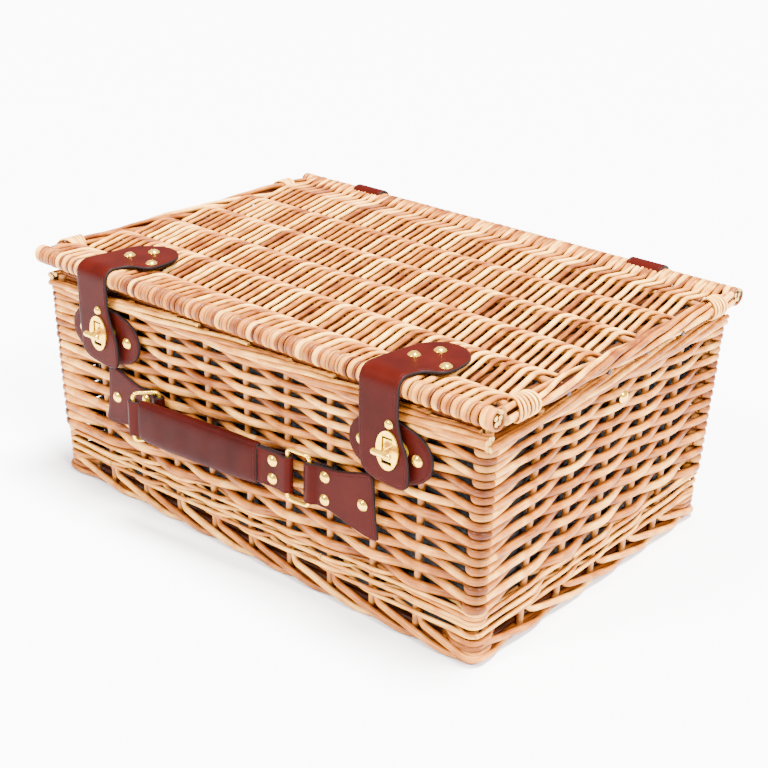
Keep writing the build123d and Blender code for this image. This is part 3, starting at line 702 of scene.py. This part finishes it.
def roll_ends(material):
    """Wraps past the panel's ends, and the pale cut sticks that show inside them."""
    rods = Rods()
    for sy in (-1, 1):
        for sx in (-1, 1):
            for k in range(2):
                x = sx * (PANEL_HALF_L + 4.4 + k * 5.4)
                turn = np.radians(np.arange(0, 361, 12)) + k * 1.3
                face = spokes(turn, 0)
                points = (x, sy * ROLL_Y, LID_Z) + WRAP_R * face
                points[:, 0] += np.linspace(-1.6, 1.6, len(turn))
                rods.add(points, 1.5, 2.8, up=(1, 0, 0), tone=rng.random(), sides=9, face=face)
            for k in range(4):
                y = sy * ROLL_Y + CORE_ROD_OFFSET * (1 if k % 2 else -1)
                z = LID_Z + CORE_ROD_OFFSET * (1 if k > 1 else -1)
                reach = ROLL_END_X - 1.1 * rng.random()
                stick = np.array([[sx * (PANEL_HALF_L - 4), y, z], [sx * reach, y, z]])
                # Painted shade darkens the sticks inside the hollow rolls; their cut ends stay pale
                rods.add(stick, CORE_ROD_R + 0.05, tone=0.4, sides=12, deep=0.6)
    return rods.build("lid_roll_end_rods", material)


def side_border(material, name, sign):
    """Five rods twisted slowly round a core, and the cut ends of the lid's sticks low on the outer side."""
    rods = Rods()
    y = np.arange(-BORDER_HALF_Y, BORDER_HALF_Y + 1, 3.0)
    for k in range(BORDER_RODS):
        turn = y / BORDER_TWIST * 2 * math.pi * sign + k / BORDER_RODS * 2 * math.pi + wander(y, 0.35, 200)
        x = sign * BORDER_X + BORDER_R * np.cos(turn) + wander(y, 0.5, 140)
        z = LID_Z - 0.3 + BORDER_R * np.sin(turn) + wander(y, 0.6, 120)
        radius = 2.25 + 0.4 * np.sin(y / 60 + k * 2.1)
        points = np.stack([x, y, z], -1)
        rods.add(points, radius, up=(1, 0, 0), tone=rng.random(), sides=9, face=spokes(turn, 1))
    core = np.array([[sign * BORDER_X, end, LID_Z] for end in (-BORDER_HALF_Y + 2, BORDER_HALF_Y - 2)])
    # Painted shade darkens the core inside the twisted rods
    rods.add(core, 2.6, up=(1, 0, 0), tone=0.1, deep=0.8)
    for place in lid_stick_places():
        out = np.array([[sign * (BORDER_X + reach), place + 3.0, LID_Z - 5.4] for reach in (-6.0, 5.2)])
        # Painted shade darkens these sticks, and their ends, not marked as cut, are painted fully dark
        rods.add(out, 2.3, tone=0.0, deep=0.75, cut=0.0)
    return rods.build(name, material)


def lashings(material):
    """A few thin strands bound round each end of the side borders, spread like a fan."""
    rods = Rods()
    for sign in (-1, 1):
        for low, count in LASHINGS:
            for k in range(count):
                turn = np.radians(np.arange(0, 361, 10))
                fan = (k - count / 2) * 1.1
                y = low + k * LASHING_PITCH + fan * np.cos(turn) * sign
                x = sign * BORDER_X + (LASHING_R + 0.25 * math.sin(k * 2.4)) * np.cos(turn)
                z = LID_Z - 0.2 + LASHING_R * np.sin(turn)
                points = np.stack([x, y, z], -1)
                tone = 0.75 + 0.3 * rng.random()
                rods.add(points, LASHING_STRAND_R, up=(0, 1, 0), tone=tone, sides=8, face=spokes(turn, 1))
    return rods.build("lid_lashing_rods", material)


# ---------------------------------------------------------------- leather

def inside(points, outline):
    """Which points lie inside a closed outline."""
    x, y = points[:, 0:1], points[:, 1:2]
    x0, y0 = outline[:, 0], outline[:, 1]
    x1, y1 = np.roll(x0, -1), np.roll(y0, -1)
    crosses = (y0 > y) != (y1 > y)
    at = (x1 - x0) * (y - y0) / np.where(y1 == y0, 1e-9, y1 - y0) + x0
    return (crosses & (x < at)).sum(1) % 2 == 1


def edge_distance(points, outline):
    """Distance from each point to the outline."""
    start = outline
    step = np.roll(outline, -1, 0) - start
    length2 = (step ** 2).sum(1) + 1e-12
    gap = points[:, None, :] - start[None]
    t = np.clip((gap * step).sum(2) / length2, 0, 1)
    return np.linalg.norm(gap - t[..., None] * step, axis=2).min(1)


def inset(outline, distance):
    """The outline moved inwards by a distance."""
    step = np.roll(outline, -1, 0) - np.roll(outline, 1, 0)
    normal = np.stack([-step[:, 1], step[:, 0]], -1)
    normal /= np.linalg.norm(normal, axis=1)[:, None] + 1e-12
    turned = (outline[:, 0] * np.roll(outline[:, 1], -1) - np.roll(outline[:, 0], -1) * outline[:, 1]).sum()
    return outline + normal * distance * (1 if turned > 0 else -1)


def leather_plate(name, outline, place, thickness, material, hole=None):
    """A piece of leather cut to an outline; place maps (x, u, height) to millimetres in the frame."""
    clouds = [outline, inset(outline, 0.5), inset(outline, 1.3)]
    if hole is not None:
        clouds += [hole, inset(hole, -0.6)]
    low, high = outline.min(0), outline.max(0)
    xs = np.arange(low[0], high[0], LEATHER_GRID)
    us = np.arange(low[1], high[1], LEATHER_GRID)
    lattice = np.stack(np.meshgrid(xs, us), -1).reshape(-1, 2)
    keep = inside(lattice, outline) & (edge_distance(lattice, outline) > 2.4)
    if hole is not None:
        keep &= ~inside(lattice, hole) & (edge_distance(lattice, hole) > 1.4)
    clouds.append(lattice[keep])
    edges = []
    counts = [len(c) for c in clouds]
    starts = np.concatenate([[0], np.cumsum(counts)])
    for index in (0, 3) if hole is not None else (0,):
        start = int(starts[index])
        n = counts[index]
        edges += [(start + i, start + (i + 1) % n) for i in range(n)]
    result = delaunay_2d_cdt([Vector(p) for p in np.vstack(clouds).tolist()], edges, [], 0, 1e-6)
    flat = np.array([list(v) for v in result[0]])
    faces = np.array([list(f) for f in result[2]])
    middle = flat[faces].mean(1)
    good = inside(middle, outline)
    if hole is not None:
        good &= ~inside(middle, hole)
    faces = faces[good]
    distance = edge_distance(flat, outline)
    if hole is not None:
        distance = np.minimum(distance, edge_distance(flat, hole))
    rise = thickness * (0.5 + 0.5 * np.sqrt(np.clip(1 - (1 - np.clip(distance / 1.3, 0, 1)) ** 2, 0, 1)))
    top = place(flat[:, 0], flat[:, 1], rise)
    bottom = place(flat[:, 0], flat[:, 1], np.zeros(len(flat)))
    count = len(flat)
    faces = faces.tolist()
    sides = {pair: True for a, b, c in faces for pair in ((a, b), (b, c), (c, a))}
    rim = [(a, b) for a, b in sides if (b, a) not in sides]
    under = [[c + count, b + count, a + count] for a, b, c in faces]
    wall = [[b, a, a + count, b + count] for a, b in rim]
    mesh = bpy.data.meshes.new(name)
    mesh.from_pydata((np.vstack([top, bottom]) * MM).tolist(), [], faces + under + wall)
    add_marks(mesh, "edge_mm", np.concatenate([distance, -distance]))
    piece = finish_mesh(name, mesh, material)
    drop_loose(piece)
    return piece


def strap_path():
    """The strap's underside from the pad's end, over the front roll and down, as (y, z) points."""
    points = [(y, PAD_Z) for y in np.linspace(PAD_TOP_Y, -ROLL_Y, 30)]
    for a in np.radians(np.arange(96, 181, 6)):
        points.append((-ROLL_Y + BEND_R * math.cos(a), LID_Z + BEND_R * math.sin(a)))
    points += [(-ROLL_Y - BEND_R, z) for z in np.linspace(LID_Z - 2, FLAP_BOTTOM_Z - 1, 36)]
    return points


def strap(side, sign, material):
    """Pad, neck and flap in one piece of leather."""
    spot, _ = laid_along(strap_path())
    x = sign * STRAP_X

    def place(px, u, h):
        return np.stack([px, *spot(u, -h)], -1)

    def at(z):
        return (ROLL_Y + PAD_TOP_Y) + BEND_R * math.pi / 2 + LID_Z - z
    outline = [
        (-21.5, at(132)), (-23, at(145)), (-24, at(165)), (-24.5, at(188)), (-24.5, 62), (-24.3, 54),
        (-23.6, 46), (-22.4, 38), (-21.2, 28), (-19.0, 17), (-12.5, 7), (-3, 1.2), (8, 1.5), (17, 6.5),
        (23.5, 15), (26.3, 27), (26.3, 39), (23, 46), (17.5, 49.5), (13, 54), (10.6, 61), (9.6, 70),
        (9.4, at(188)), (9.4, at(178)), (10.2, at(168)), (13.6, at(157)), (17.5, at(149)), (19.5, at(141)),
        (20.2, at(132)), (19.4, at(126.2)), (16.2, at(122.8)), (9, at(121.9)), (-1, at(122.6)),
        (-11, at(124)), (-18, at(127)),
    ]
    lobe = [PAD_LOBE[side] * (u < 48) * (px > -15) for px, u in outline]
    shift = x + STRAP_SHIFT[side]
    outline = rounded([(shift + px + more, u) for (px, u), more in zip(outline, lobe)], 6)
    across, up = oval(np.linspace(0, 2 * math.pi, 28, endpoint=False), SLOT_HALF, (0.5, 0.5))
    hole = np.stack([x + across, at(LOCK_Z) + up], -1)
    piece = leather_plate(f"strap_{side}", outline, place, LEATHER_T, material, hole=hole)
    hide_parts(f"strap_pad_{side}", f"strap_flap_{side}")
    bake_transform(piece)


def clasp_patch(side, material):
    """A squarish oval patch against the front."""
    def place(px, pz, h):
        return np.stack([px, PATCH_Y - h, pz], -1)
    turn = np.linspace(0, 2 * math.pi, 90, endpoint=False)
    x, z = oval(turn, (PATCH_HALF_L[side], PATCH_HALF_H), (2 / 2.25, 2 / 2.25))
    outline = np.stack([PATCH_X[side] + x, PATCH_Z + z], -1)
    piece = leather_plate(f"patch_{side}", outline, place, LEATHER_T, material)
    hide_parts(f"clasp_patch_{side}")
    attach(piece, "basket")


def handle_tab(side, sign, material):
    """A tab folded round its ring's bar: front layer, fold and a hidden back layer."""
    bar = HANDLE_X + sign * TAB_REACH
    front = TAB_BACK_Y - 4.7 + THIN_LEATHER_T
    inner = LOOP_R - THIN_LEATHER_T
    points = [(reach, front) for reach in np.linspace(66, 9, 24)]
    points += [(6, front - 0.5), (3, TAB_Y - inner + 0.3)]
    for a in np.radians(np.arange(90, 271, 15)):
        points.append((inner * math.cos(a), TAB_Y - inner * math.sin(a)))
    points += [(4, TAB_Y + inner), (10, TAB_BACK_Y - 0.4), (24, TAB_BACK_Y - 0.2)]
    spot, end = laid_along(points)

    def place(u, z, h):
        reach, y = spot(u, h)
        return np.stack([bar + sign * reach, y, z], -1)
    base = 66.0
    top = HANDLE_Z + 16
    low = HANDLE_Z - 16
    outline = [
        (base - 64.5, 74.0), (base - 62.5, 84), (base - 61.0, 95), (base - 60.0, 106), (base - 59.3, 116),
        (base - 57.5, 120.3), (base - 53, 121), (base - 42, 117.8), (base - 28, 113.8), (base - 14, 111.8),
        (base - 2, top), (base + 6, top), (base + 14, top), (end - 6, top), (end - 1, top - 1),
        (end, top - 6), (end, low + 6), (end - 1, low + 1), (end - 6, low), (base + 14, low),
        (base + 6, low), (base - 2, low),
        (base - 14, 79.4), (base - 22, 78.9), (base - 34, 75.6), (base - 48, 72.6), (base - 56, 71.6),
        (base - 61.5, 71.4),
    ]
    piece = leather_plate(f"tab_{side}", rounded(outline, 5), place, THIN_LEATHER_T, material)
    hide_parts(f"handle_tab_{side}")
    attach(piece, "basket")


def ring_end(sign, degrees):
    """Where a ring's outer bar is, seen from above, for a ring turned by these degrees."""
    turn = math.radians(degrees)
    return np.array([HANDLE_X + sign * TAB_REACH + RING_W * math.cos(turn), TAB_Y + RING_W * math.sin(turn)])


def belt(name, path, width, thickness, up, material, closed=False):
    """Sweeps a flat leather section with rounded edges along a path."""
    path = np.asarray(path, float)
    half_w = width / 2
    half_t = thickness / 2
    edge = min(half_t, 1.0)
    section = []
    for sx, sy in ((1, 1), (-1, 1), (-1, -1), (1, -1)):
        for a in range(0, 91, 22):
            a = math.radians(a if sx * sy > 0 else 90 - a)
            x = half_w - edge + edge * math.cos(a)
            y = half_t - edge + edge * math.sin(a)
            section.append((sx * x, sy * y))
    section = np.array(section)
    fill = []
    for a, b in zip(section, np.roll(section, -1, 0)):
        steps = max(1, int(np.linalg.norm(b - a) / 2.5))
        fill += [a + (b - a) * s / steps for s in range(steps)]
    section = np.array(fill)
    if closed:
        step = np.roll(path, -1, 0) - np.roll(path, 1, 0)
    else:
        step = np.gradient(path, axis=0)
    up = spread(up, path.shape)
    out = np.cross(unit(step), up)
    across, through = section[None, :, 0:1], section[None, :, 1:2]
    rings = path[:, None, :] + up[:, None, :] * across + out[:, None, :] * through
    distance = np.tile(half_w - np.abs(section[:, 0]), len(rings))
    piece = loft(name, rings, material, closed=closed, edge=distance)
    drop_loose(piece)
    return piece


def handle(material):
    """The strap is one belt that goes round both ring bars, with its layers together between them."""
    left = ring_end(-1, RING_LEFT_DEG)
    right = ring_end(1, RING_RIGHT_DEG)
    length = np.linalg.norm(right - left)
    along = (right - left) / length
    out = np.array([along[1], -along[0]])
    spots = []
    for a in np.radians(np.arange(-90, 91, 15)):
        spots.append((length + HANDLE_LOOP_R * math.cos(a), -HANDLE_LOOP_R * math.sin(a)))
    back = [(length - 6, -1.9), (length - 10, -1.3)] + [(s, -1.25) for s in np.linspace(length - 14, 14, 30)]
    spots += back + [(10, -1.3), (6, -1.9)]
    for a in np.radians(np.arange(-90, 91, 15)):
        spots.append((-HANDLE_LOOP_R * math.cos(a), HANDLE_LOOP_R * math.sin(a)))
    spots += [(6, 1.9), (10, 1.3)] + [(s, 1.25) for s in np.linspace(14, length - 14, 30)]
    spots += [(length - 10, 1.3), (length - 6, 1.9)]
    path = [(*(left + along * s + out * d), HANDLE_Z) for s, d in spots]
    piece = belt("handle_belt", path, STRAP_W, STRAP_T, (0, 0, 1), material, closed=True)
    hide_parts("handle_strap")
    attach(piece, "handle")
    return left, along, out


def sleeve(material, left, along, out):
    """Padded tube round the strap: fuller in the middle, drawn in at both ends."""
    length = SLEEVE_L
    rings = []
    edge = []
    stations = [(0.0, 0.62), (0.0, 0.8), (0.6, 0.93), (1.8, 1.0)]
    stations += [(s, 1.0) for s in np.linspace(4, length - 4, 46)]
    stations += [(length - 1.8, 1.0), (length - 0.6, 0.93), (length, 0.8), (length, 0.62)]
    count = 64
    turn = np.arange(count) / count * 2 * math.pi
    for s, scale in stations:
        share = s / length
        full = 1 - abs(2 * share - 1) ** 4
        half = (SLEEVE_HALF_H + 0.6 * full, SLEEVE_HALF_T + 0.95 * full)
        high, deep = oval(turn, half, (2 / 4.2, 2 / 2.6))
        wrinkle = 0.12 * np.sin(s / 3.7 + turn * 2) * full
        deep = deep * scale + wrinkle * np.sign(deep)
        high = high * (1 - (1 - scale) * 0.25)
        drop = -1.2 * full * (high < 0)
        flat = left + along * (SLEEVE_START + s)
        xy = flat[None, :] + out[None, :] * deep[:, None]
        rings.append(np.stack([xy[:, 0], xy[:, 1], HANDLE_Z + high + drop], -1))
        edge.append(np.full(count, min(s, length - s) + 0.2))
    piece = loft("handle_pad", np.array(rings), material, edge=np.concatenate(edge))
    drop_loose(piece)
    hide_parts("handle_sleeve")
    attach(piece, "sleeve")


def hinge_strap(side, sign, material):
    """A leather strap that loops over the back roll and is riveted to the back wall."""
    x = sign * HINGE_STRAP_X
    radius = ROLL_R + 0.15 + THIN_LEATHER_T / 2
    points = [(x, ROLL_Y - radius, z) for z in (HINGE_STRAP_INNER_Z, 188.0)]
    for a in np.radians(np.arange(180, -1, -12)):
        points.append((x, ROLL_Y + radius * math.cos(a), LID_Z + radius * math.sin(a)))
    points += [(x, ROLL_Y + radius, z) for z in np.linspace(LID_Z - 3, HINGE_STRAP_LOW_Z, 22)]
    piece = belt(f"hinge_strap_{side}_leather", points, HINGE_STRAP_W, THIN_LEATHER_T, (1, 0, 0), material)
    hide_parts(f"hinge_strap_{side}")
    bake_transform(piece)


# ---------------------------------------------------------------- lining

def lining(material):
    """A cloth tub: its base is slightly uneven, and its walls ripple a little inwards below the top edge."""
    def ring(half_l, half_w, z, ripple):
        arcs = []
        for index, (sx, sy, radius) in enumerate(TUB_CORNERS):
            radius = min(radius, half_l * 0.45, half_w * 0.45)
            angle = np.linspace(0, math.pi / 2, 12) + index * math.pi / 2
            arc = (sx * (half_l - radius), sy * (half_w - radius)) + radius * spokes(angle, 1)[:, ::2]
            arcs.append(arc)
        points = []
        for arc, following in zip(arcs, arcs[1:] + arcs[:1]):
            share = np.linspace(0, 1, TUB_SIDE_POINTS)[1:-1, None]
            points += [arc, arc[-1] + (following[0] - arc[-1]) * share]
        points = np.vstack(points)
        wave = np.sin(np.arange(len(points)) * 0.9 + z * 0.03)
        shape = 1 - ripple * (0.5 + 0.5 * wave[:, None]) / half_w
        return np.hstack([points * shape, np.full((len(points), 1), z)])
    rings = []
    for share in np.linspace(0.02, 1, 14):
        z = TUB_BASE_Z + 0.25 * math.sin(share * 20)
        rings.append(ring(TUB_BASE_HALF[0] * share, TUB_BASE_HALF[1] * share, z, 0.0))
    for share in np.linspace(0, 1, 34):
        z = TUB_LOW_Z + (TUB_TOP_Z - TUB_LOW_Z) * share
        half_l = TUB_HALF_L[0] + (TUB_HALF_L[1] - TUB_HALF_L[0]) * share
        half_w = TUB_HALF_W[0] + (TUB_HALF_W[1] - TUB_HALF_W[0]) * share
        rings.append(ring(half_l - 0.3, half_w - 0.3, z, 1.1 * min(1, (TUB_TOP_Z - z) / 40)))
    piece = loft("lining_cloth_tub", np.array(rings), material, last=False)
    thicken(piece, TUB_T, 1)
    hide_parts("body_lining")
    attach(piece, "basket")


def lid_lining(material):
    """Thin cloth stretched under the lid's weave."""
    count_x, count_y = 90, 60
    half_x, half_y = LID_CLOTH_HALF
    xs = np.linspace(-half_x, half_x, count_x)
    ys = np.linspace(-half_y, half_y, count_y)
    grid_x, grid_y = np.meshgrid(xs, ys)
    z = LID_CLOTH_Z - 0.25 * np.sin(grid_x / 17) * np.sin(grid_y / 23)
    rows = np.stack([grid_x, grid_y, z], -1).reshape(-1, 3)
    a = (np.arange(count_y - 1)[:, None] * count_x + np.arange(count_x - 1)).ravel()
    mesh = bpy.data.meshes.new("lid_lining_cloth")
    faces = np.stack([a, a + 1, a + count_x + 1, a + count_x], -1)
    mesh.from_pydata((rows * MM).tolist(), [], faces.tolist())
    piece = finish_mesh("lid_lining_cloth", mesh, material)
    thicken(piece, LID_CLOTH_T, -1)
    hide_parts("lid_lining")
    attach(piece, "lid")


# ---------------------------------------------------------------- materials

class Nodes:
    """Short names for building a material's node tree."""

    def __init__(self, name):
        self.material = bpy.data.materials.new(name)
        self.material.use_nodes = True
        self.tree = self.material.node_tree
        self.shader = self.tree.nodes["Principled BSDF"]

    def node(self, kind, **settings):
        node = self.tree.nodes.new(kind)
        for key, value in settings.items():
            if key in node.inputs:
                node.inputs[key].default_value = value
            else:
                setattr(node, key, value)
        return node

    def feed(self, value, socket):
        """Gives an input a number, a colour or another node's output."""
        if isinstance(value, (int, float)):
            socket.default_value = value
        elif isinstance(value, tuple):
            socket.default_value = (*value, 1)
        else:
            self.tree.links.new(value, socket)

    def shade(self, values):
        """Sets the shader's own inputs by name."""
        for name, value in values.items():
            self.feed(value, self.shader.inputs[name])

    def texture(self, kind, place, output="Fac", **settings):
        node = self.node("ShaderNodeTex" + kind, **settings)
        self.feed(place, node.inputs["Vector"])
        return node.outputs[output]

    def place(self):
        """Where a point is on its own object."""
        return self.node("ShaderNodeTexCoord").outputs["Object"]

    def ramp(self, source, stops):
        node = self.node("ShaderNodeValToRGB")
        ramp = node.color_ramp
        while len(ramp.elements) < len(stops):
            ramp.elements.new(0.5)
        for element, (place, colour) in zip(ramp.elements, stops):
            element.position = place
            element.color = (*colour, 1)
        self.feed(source, node.inputs["Fac"])
        return node.outputs["Color"]

    def math(self, operation, *values):
        node = self.node("ShaderNodeMath", operation=operation)
        for socket, value in zip(node.inputs, values):
            self.feed(value, socket)
        return node.outputs[0]

    def mix(self, fac, a, b, blend="MIX"):
        node = self.node("ShaderNodeMix", data_type="RGBA", blend_type=blend)
        for index, value in ((0, fac), (6, a), (7, b)):
            self.feed(value, node.inputs[index])
        return node.outputs[2]

    def attribute(self, name, output="Fac"):
        return self.node("ShaderNodeAttribute", attribute_name=name).outputs[output]

    def bump(self, height, distance, strength):
        node = self.node("ShaderNodeBump", Distance=distance, Strength=strength)
        self.feed(height, node.inputs["Height"])
        self.shade({"Normal": node.outputs["Normal"]})


def willow(name, pale, warm, deep):
    """Varnished willow: each rod its own tone, with long streaks, small knots, paler cut ends and painted
    shade from the rods' shade mark.
    """
    n = Nodes(name)
    grain = n.attribute("rod_grain", "Vector")
    stretch = n.node("ShaderNodeVectorMath", operation="MULTIPLY")
    n.feed(grain, stretch.inputs[0])
    stretch.inputs[1].default_value = (0.035, 0.5, 0.5)
    streak = n.texture("Noise", stretch.outputs[0], Scale=3.0, Detail=4.0, Roughness=0.6)
    blotch = n.texture("Noise", grain, Scale=0.06, Detail=2.0)
    value = n.math("MULTIPLY_ADD", streak, 0.6, n.math("MULTIPLY", n.attribute("rod_tone"), 0.52))
    value = n.math("ADD", value, n.math("MULTIPLY_ADD", blotch, 0.6, -0.355))
    colour = n.ramp(value, [(0.23, deep), (0.53, warm), (0.82, pale)])
    knots = n.texture("Voronoi", grain, "Distance", Scale=0.055)
    spot = n.ramp(knots, [(0.03, (1, 1, 1)), (0.075, (0, 0, 0))])
    colour = n.mix(n.math("MULTIPLY", spot, 0.6), colour, (0.12, 0.03, 0.006))
    pith = n.node("ShaderNodeTexNoise", Scale=900.0, Detail=3.0).outputs["Fac"]
    cut_colour = n.ramp(pith, [(0.35, (0.35, 0.17, 0.03)), (0.6, (0.62, 0.38, 0.1))])
    colour = n.mix(n.attribute("rod_cut"), colour, cut_colour)
    # Painted shade: the rods' shade mark multiplies the colour darker on their shaded sides and where they
    # run hidden
    painted_shade_ramp = [(0.0, (1.0, 1.0, 1.0)), (0.35, (0.55, 0.44, 0.38)), (0.75, (0.1, 0.058, 0.05))]
    colour = n.mix(1.0, colour, n.ramp(n.attribute("rod_painted_shade"), painted_shade_ramp), blend="MULTIPLY")
    n.shade({"Base Color": colour, "Roughness": n.math("MULTIPLY_ADD", streak, 0.25, 0.3),
             "Specular IOR Level": 0.1, "Coat Weight": 0.06, "Coat Roughness": 0.14})
    n.bump(streak, 0.0003, 0.5)
    return n.material


def stick_wood(name):
    """The same willow on the straight sticks, with its grain in object space."""
    n = Nodes(name)
    noise = n.texture("Noise", n.place(), Scale=160.0, Detail=3.0)
    tones = [(0.3, (0.2, 0.06, 0.009)), (0.6, (0.36, 0.125, 0.018)), (0.75, (0.45, 0.18, 0.03))]
    n.shade({"Base Color": n.ramp(noise, tones), "Roughness": 0.45, "Specular IOR Level": 0.3})
    n.bump(noise, 0.0003, 0.5)
    return n.material


def leather(name, base, dark, light):
    """Smooth brown leather: fine grain, a pressed line, dark painted edges and a paler flesh side."""
    n = Nodes(name)
    place = n.place()
    edge = n.attribute("edge_mm")
    cells = n.texture("Voronoi", place, "Distance", Scale=1500.0)
    fine = n.texture("Noise", place, Scale=900.0, Detail=4.0)
    cloud = n.texture("Noise", place, Scale=45.0, Detail=3.0)
    colour = n.ramp(cloud, [(0.3, dark), (0.5, base), (0.72, light)])
    away = n.math("ABSOLUTE", n.math("SUBTRACT", edge, 2.5))
    line = n.math("SUBTRACT", 1.0, n.math("MULTIPLY", away, 2.2))
    line = n.math("MAXIMUM", line, 0.0)
    colour = n.mix(n.math("MULTIPLY", line, 0.4), colour, dark)
    rim = n.ramp(edge, [(0.3, (1, 1, 1)), (0.75, (0, 0, 0))])
    colour = n.mix(rim, colour, (0.012, 0.008, 0.008))
    flesh = n.ramp(n.math("MULTIPLY", edge, -0.5), [(0.4, (0, 0, 0)), (0.7, (1, 1, 1))])
    colour = n.mix(flesh, colour, (0.046, 0.0105, 0.005))
    n.shade({"Base Color": colour, "Roughness": n.math("MULTIPLY_ADD", fine, 0.25, 0.3),
             "Specular IOR Level": 0.03})
    height = n.math("MULTIPLY_ADD", cells, 0.12, n.math("MULTIPLY", fine, 0.08))
    n.bump(n.math("SUBTRACT", height, line), 0.0004, 0.6)
    return n.material


def brass(name):
    n = Nodes(name)
    noise = n.texture("Noise", n.place(), Scale=260.0, Detail=3.0)
    colour = n.ramp(noise, [(0.3, (0.58, 0.32, 0.02)), (0.7, (0.8, 0.5, 0.05))])
    n.shade({"Base Color": colour, "Metallic": 0.8, "Roughness": n.math("MULTIPLY_ADD", noise, 0.14, 0.12)})
    return n.material


def cloth(name):
    """Charcoal cloth in a plain weave."""
    n = Nodes(name)
    place = n.place()
    threads = [n.texture("Wave", place, Scale=420.0, bands_direction=d) for d in ("X", "Y", "Z")]
    height = n.math("MULTIPLY", n.math("ADD", threads[0], threads[1]), threads[2])
    noise = n.texture("Noise", place, Scale=60.0, Detail=3.0)
    colour = n.ramp(noise, [(0.3, (0.0105, 0.0102, 0.011)), (0.7, (0.0135, 0.013, 0.0142))])
    n.shade({"Base Color": colour, "Roughness": 0.9})
    n.bump(height, 0.0002, 0.5)
    return n.material


def studio_floor():
    n = Nodes("floor_paper")
    noise = n.node("ShaderNodeTexNoise", Scale=3.0).outputs["Fac"]
    colour = n.ramp(noise, [(0.0, (0.9, 0.9, 0.9)), (1.0, (0.93, 0.93, 0.93))])
    n.shade({"Base Color": colour, "Roughness": 0.8})
    return n.material


# ---------------------------------------------------------------- stage

def stage():
    mesh = bpy.data.meshes.new("floor")
    corners = [(x * FLOOR_HALF, y * FLOOR_HALF, 0) for x, y in ((-1, -1), (1, -1), (1, 1), (-1, 1))]
    mesh.from_pydata(corners, [], [(0, 1, 2, 3)])
    floor = finish_mesh("floor", mesh, studio_floor())
    floor.location.z = -0.0002
    world = bpy.data.worlds.new("studio")
    bpy.context.scene.world = world
    world.use_nodes = True
    tree = world.node_tree
    background = tree.nodes["Background"]
    background.inputs["Color"].default_value = (1, 1, 1, 1)
    rays = tree.nodes.new("ShaderNodeLightPath")
    strength = tree.nodes.new("ShaderNodeMapRange")
    strength.inputs["To Min"].default_value = WORLD_LIGHT
    strength.inputs["To Max"].default_value = BACKDROP_LIGHT
    tree.links.new(rays.outputs["Is Camera Ray"], strength.inputs["Value"])
    tree.links.new(strength.outputs["Result"], background.inputs["Strength"])
    for name, place, spread, power in LIGHTS:
        light = bpy.data.lights.new(name, "SUN")
        light.angle = math.radians(spread)
        light.energy = power
        item = bpy.data.objects.new(name, light)
        item.location = place
        item.rotation_euler = (-Vector(place)).to_track_quat("-Z", "Y").to_euler()
        bpy.context.scene.collection.objects.link(item)


def camera():
    data = bpy.data.cameras.new("camera")
    item = bpy.data.objects.new("camera", data)
    bpy.context.scene.collection.objects.link(item)
    item.location = CAMERA_PLACE
    aim = Vector(CAMERA_AIM) - item.location
    item.rotation_mode = "QUATERNION"
    roll = Quaternion((0, 0, 1), math.radians(CAMERA_ROLL))
    item.rotation_quaternion = aim.to_track_quat("-Z", "Y") @ roll
    data.lens = CAMERA_LENS
    data.sensor_width = 36
    data.clip_start = 0.01
    bpy.context.scene.camera = item


# ---------------------------------------------------------------- assembly

def dress(frame, materials):
    """Gives every carried-over CAD node its material."""
    slots = {s["node"]: s["material_slot"] for s in frame["record"]["subparts"]}
    for name, node in frame["nodes"].items():
        node.data.materials.clear()
        node.data.materials.append(materials[slots[name]])


def make_basket(materials):
    wicker = materials["wicker"]
    walls = weave_walls(wicker)
    replaced = (("weave_front", "weave_corners"), ("weave_right",), ("weave_back",), ("weave_left",))
    for piece, names in zip(walls, replaced):
        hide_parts(*names)
    pieces = list(walls) + [wale(wicker)]
    for make, node in ((foot_border, "foot_border"), (rim_border, "rim_border"), (base_weave, "base_panel")):
        piece = make(wicker)
        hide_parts(node)
        pieces.append(piece)
    for piece in pieces:
        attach(piece, "basket")
    lining(materials["lining_cloth"])


def make_lid(materials):
    wicker = materials["wicker"]
    halves = lid_weave(wicker)
    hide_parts("lid_panel", "lid_roll_front", "lid_roll_back")
    pieces = list(halves) + [roll_ends(wicker)]
    for side, sign in SIDES:
        border = side_border(wicker, f"lid_border_{side}_rods", sign)
        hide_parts(f"lid_border_{side}")
        pieces.append(border)
    ties = lashings(wicker)
    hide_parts("lid_lashings")
    pieces.append(ties)
    for piece in pieces:
        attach(piece, "lid")
    lid_lining(materials["lining_cloth"])


def make_leather(materials):
    hide = materials["brown_leather"]
    for side, sign in SIDES:
        clasp_patch(side, hide)
        strap(side, sign, hide)
        handle_tab(side, sign, hide)
        hinge_strap(side, sign, hide)
    sleeve(materials["padded_leather"], *handle(hide))


with open("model.json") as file:
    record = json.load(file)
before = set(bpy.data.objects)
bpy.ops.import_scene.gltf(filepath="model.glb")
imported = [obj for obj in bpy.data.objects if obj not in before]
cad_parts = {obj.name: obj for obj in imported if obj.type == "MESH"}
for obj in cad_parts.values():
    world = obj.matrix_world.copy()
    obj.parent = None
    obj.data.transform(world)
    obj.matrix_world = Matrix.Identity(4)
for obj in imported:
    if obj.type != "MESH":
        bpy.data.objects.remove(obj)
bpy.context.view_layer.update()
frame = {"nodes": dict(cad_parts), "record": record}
camera()
stage()
materials = {
    "wicker": willow("willow_rods", *WILLOW_TONES),
    "willow_stick": stick_wood("willow_sticks"),
    "base_board": stick_wood("willow_base"),
    "lining_cloth": cloth("charcoal_cloth"),
    "brown_leather": leather("brown_leather", *HIDE_TONES),
    "padded_leather": leather("padded_leather", *PADDED_TONES),
    "brass": brass("polished_brass"),
}
dress(frame, materials)
make_basket(materials)
make_lid(materials)
make_leather(materials)
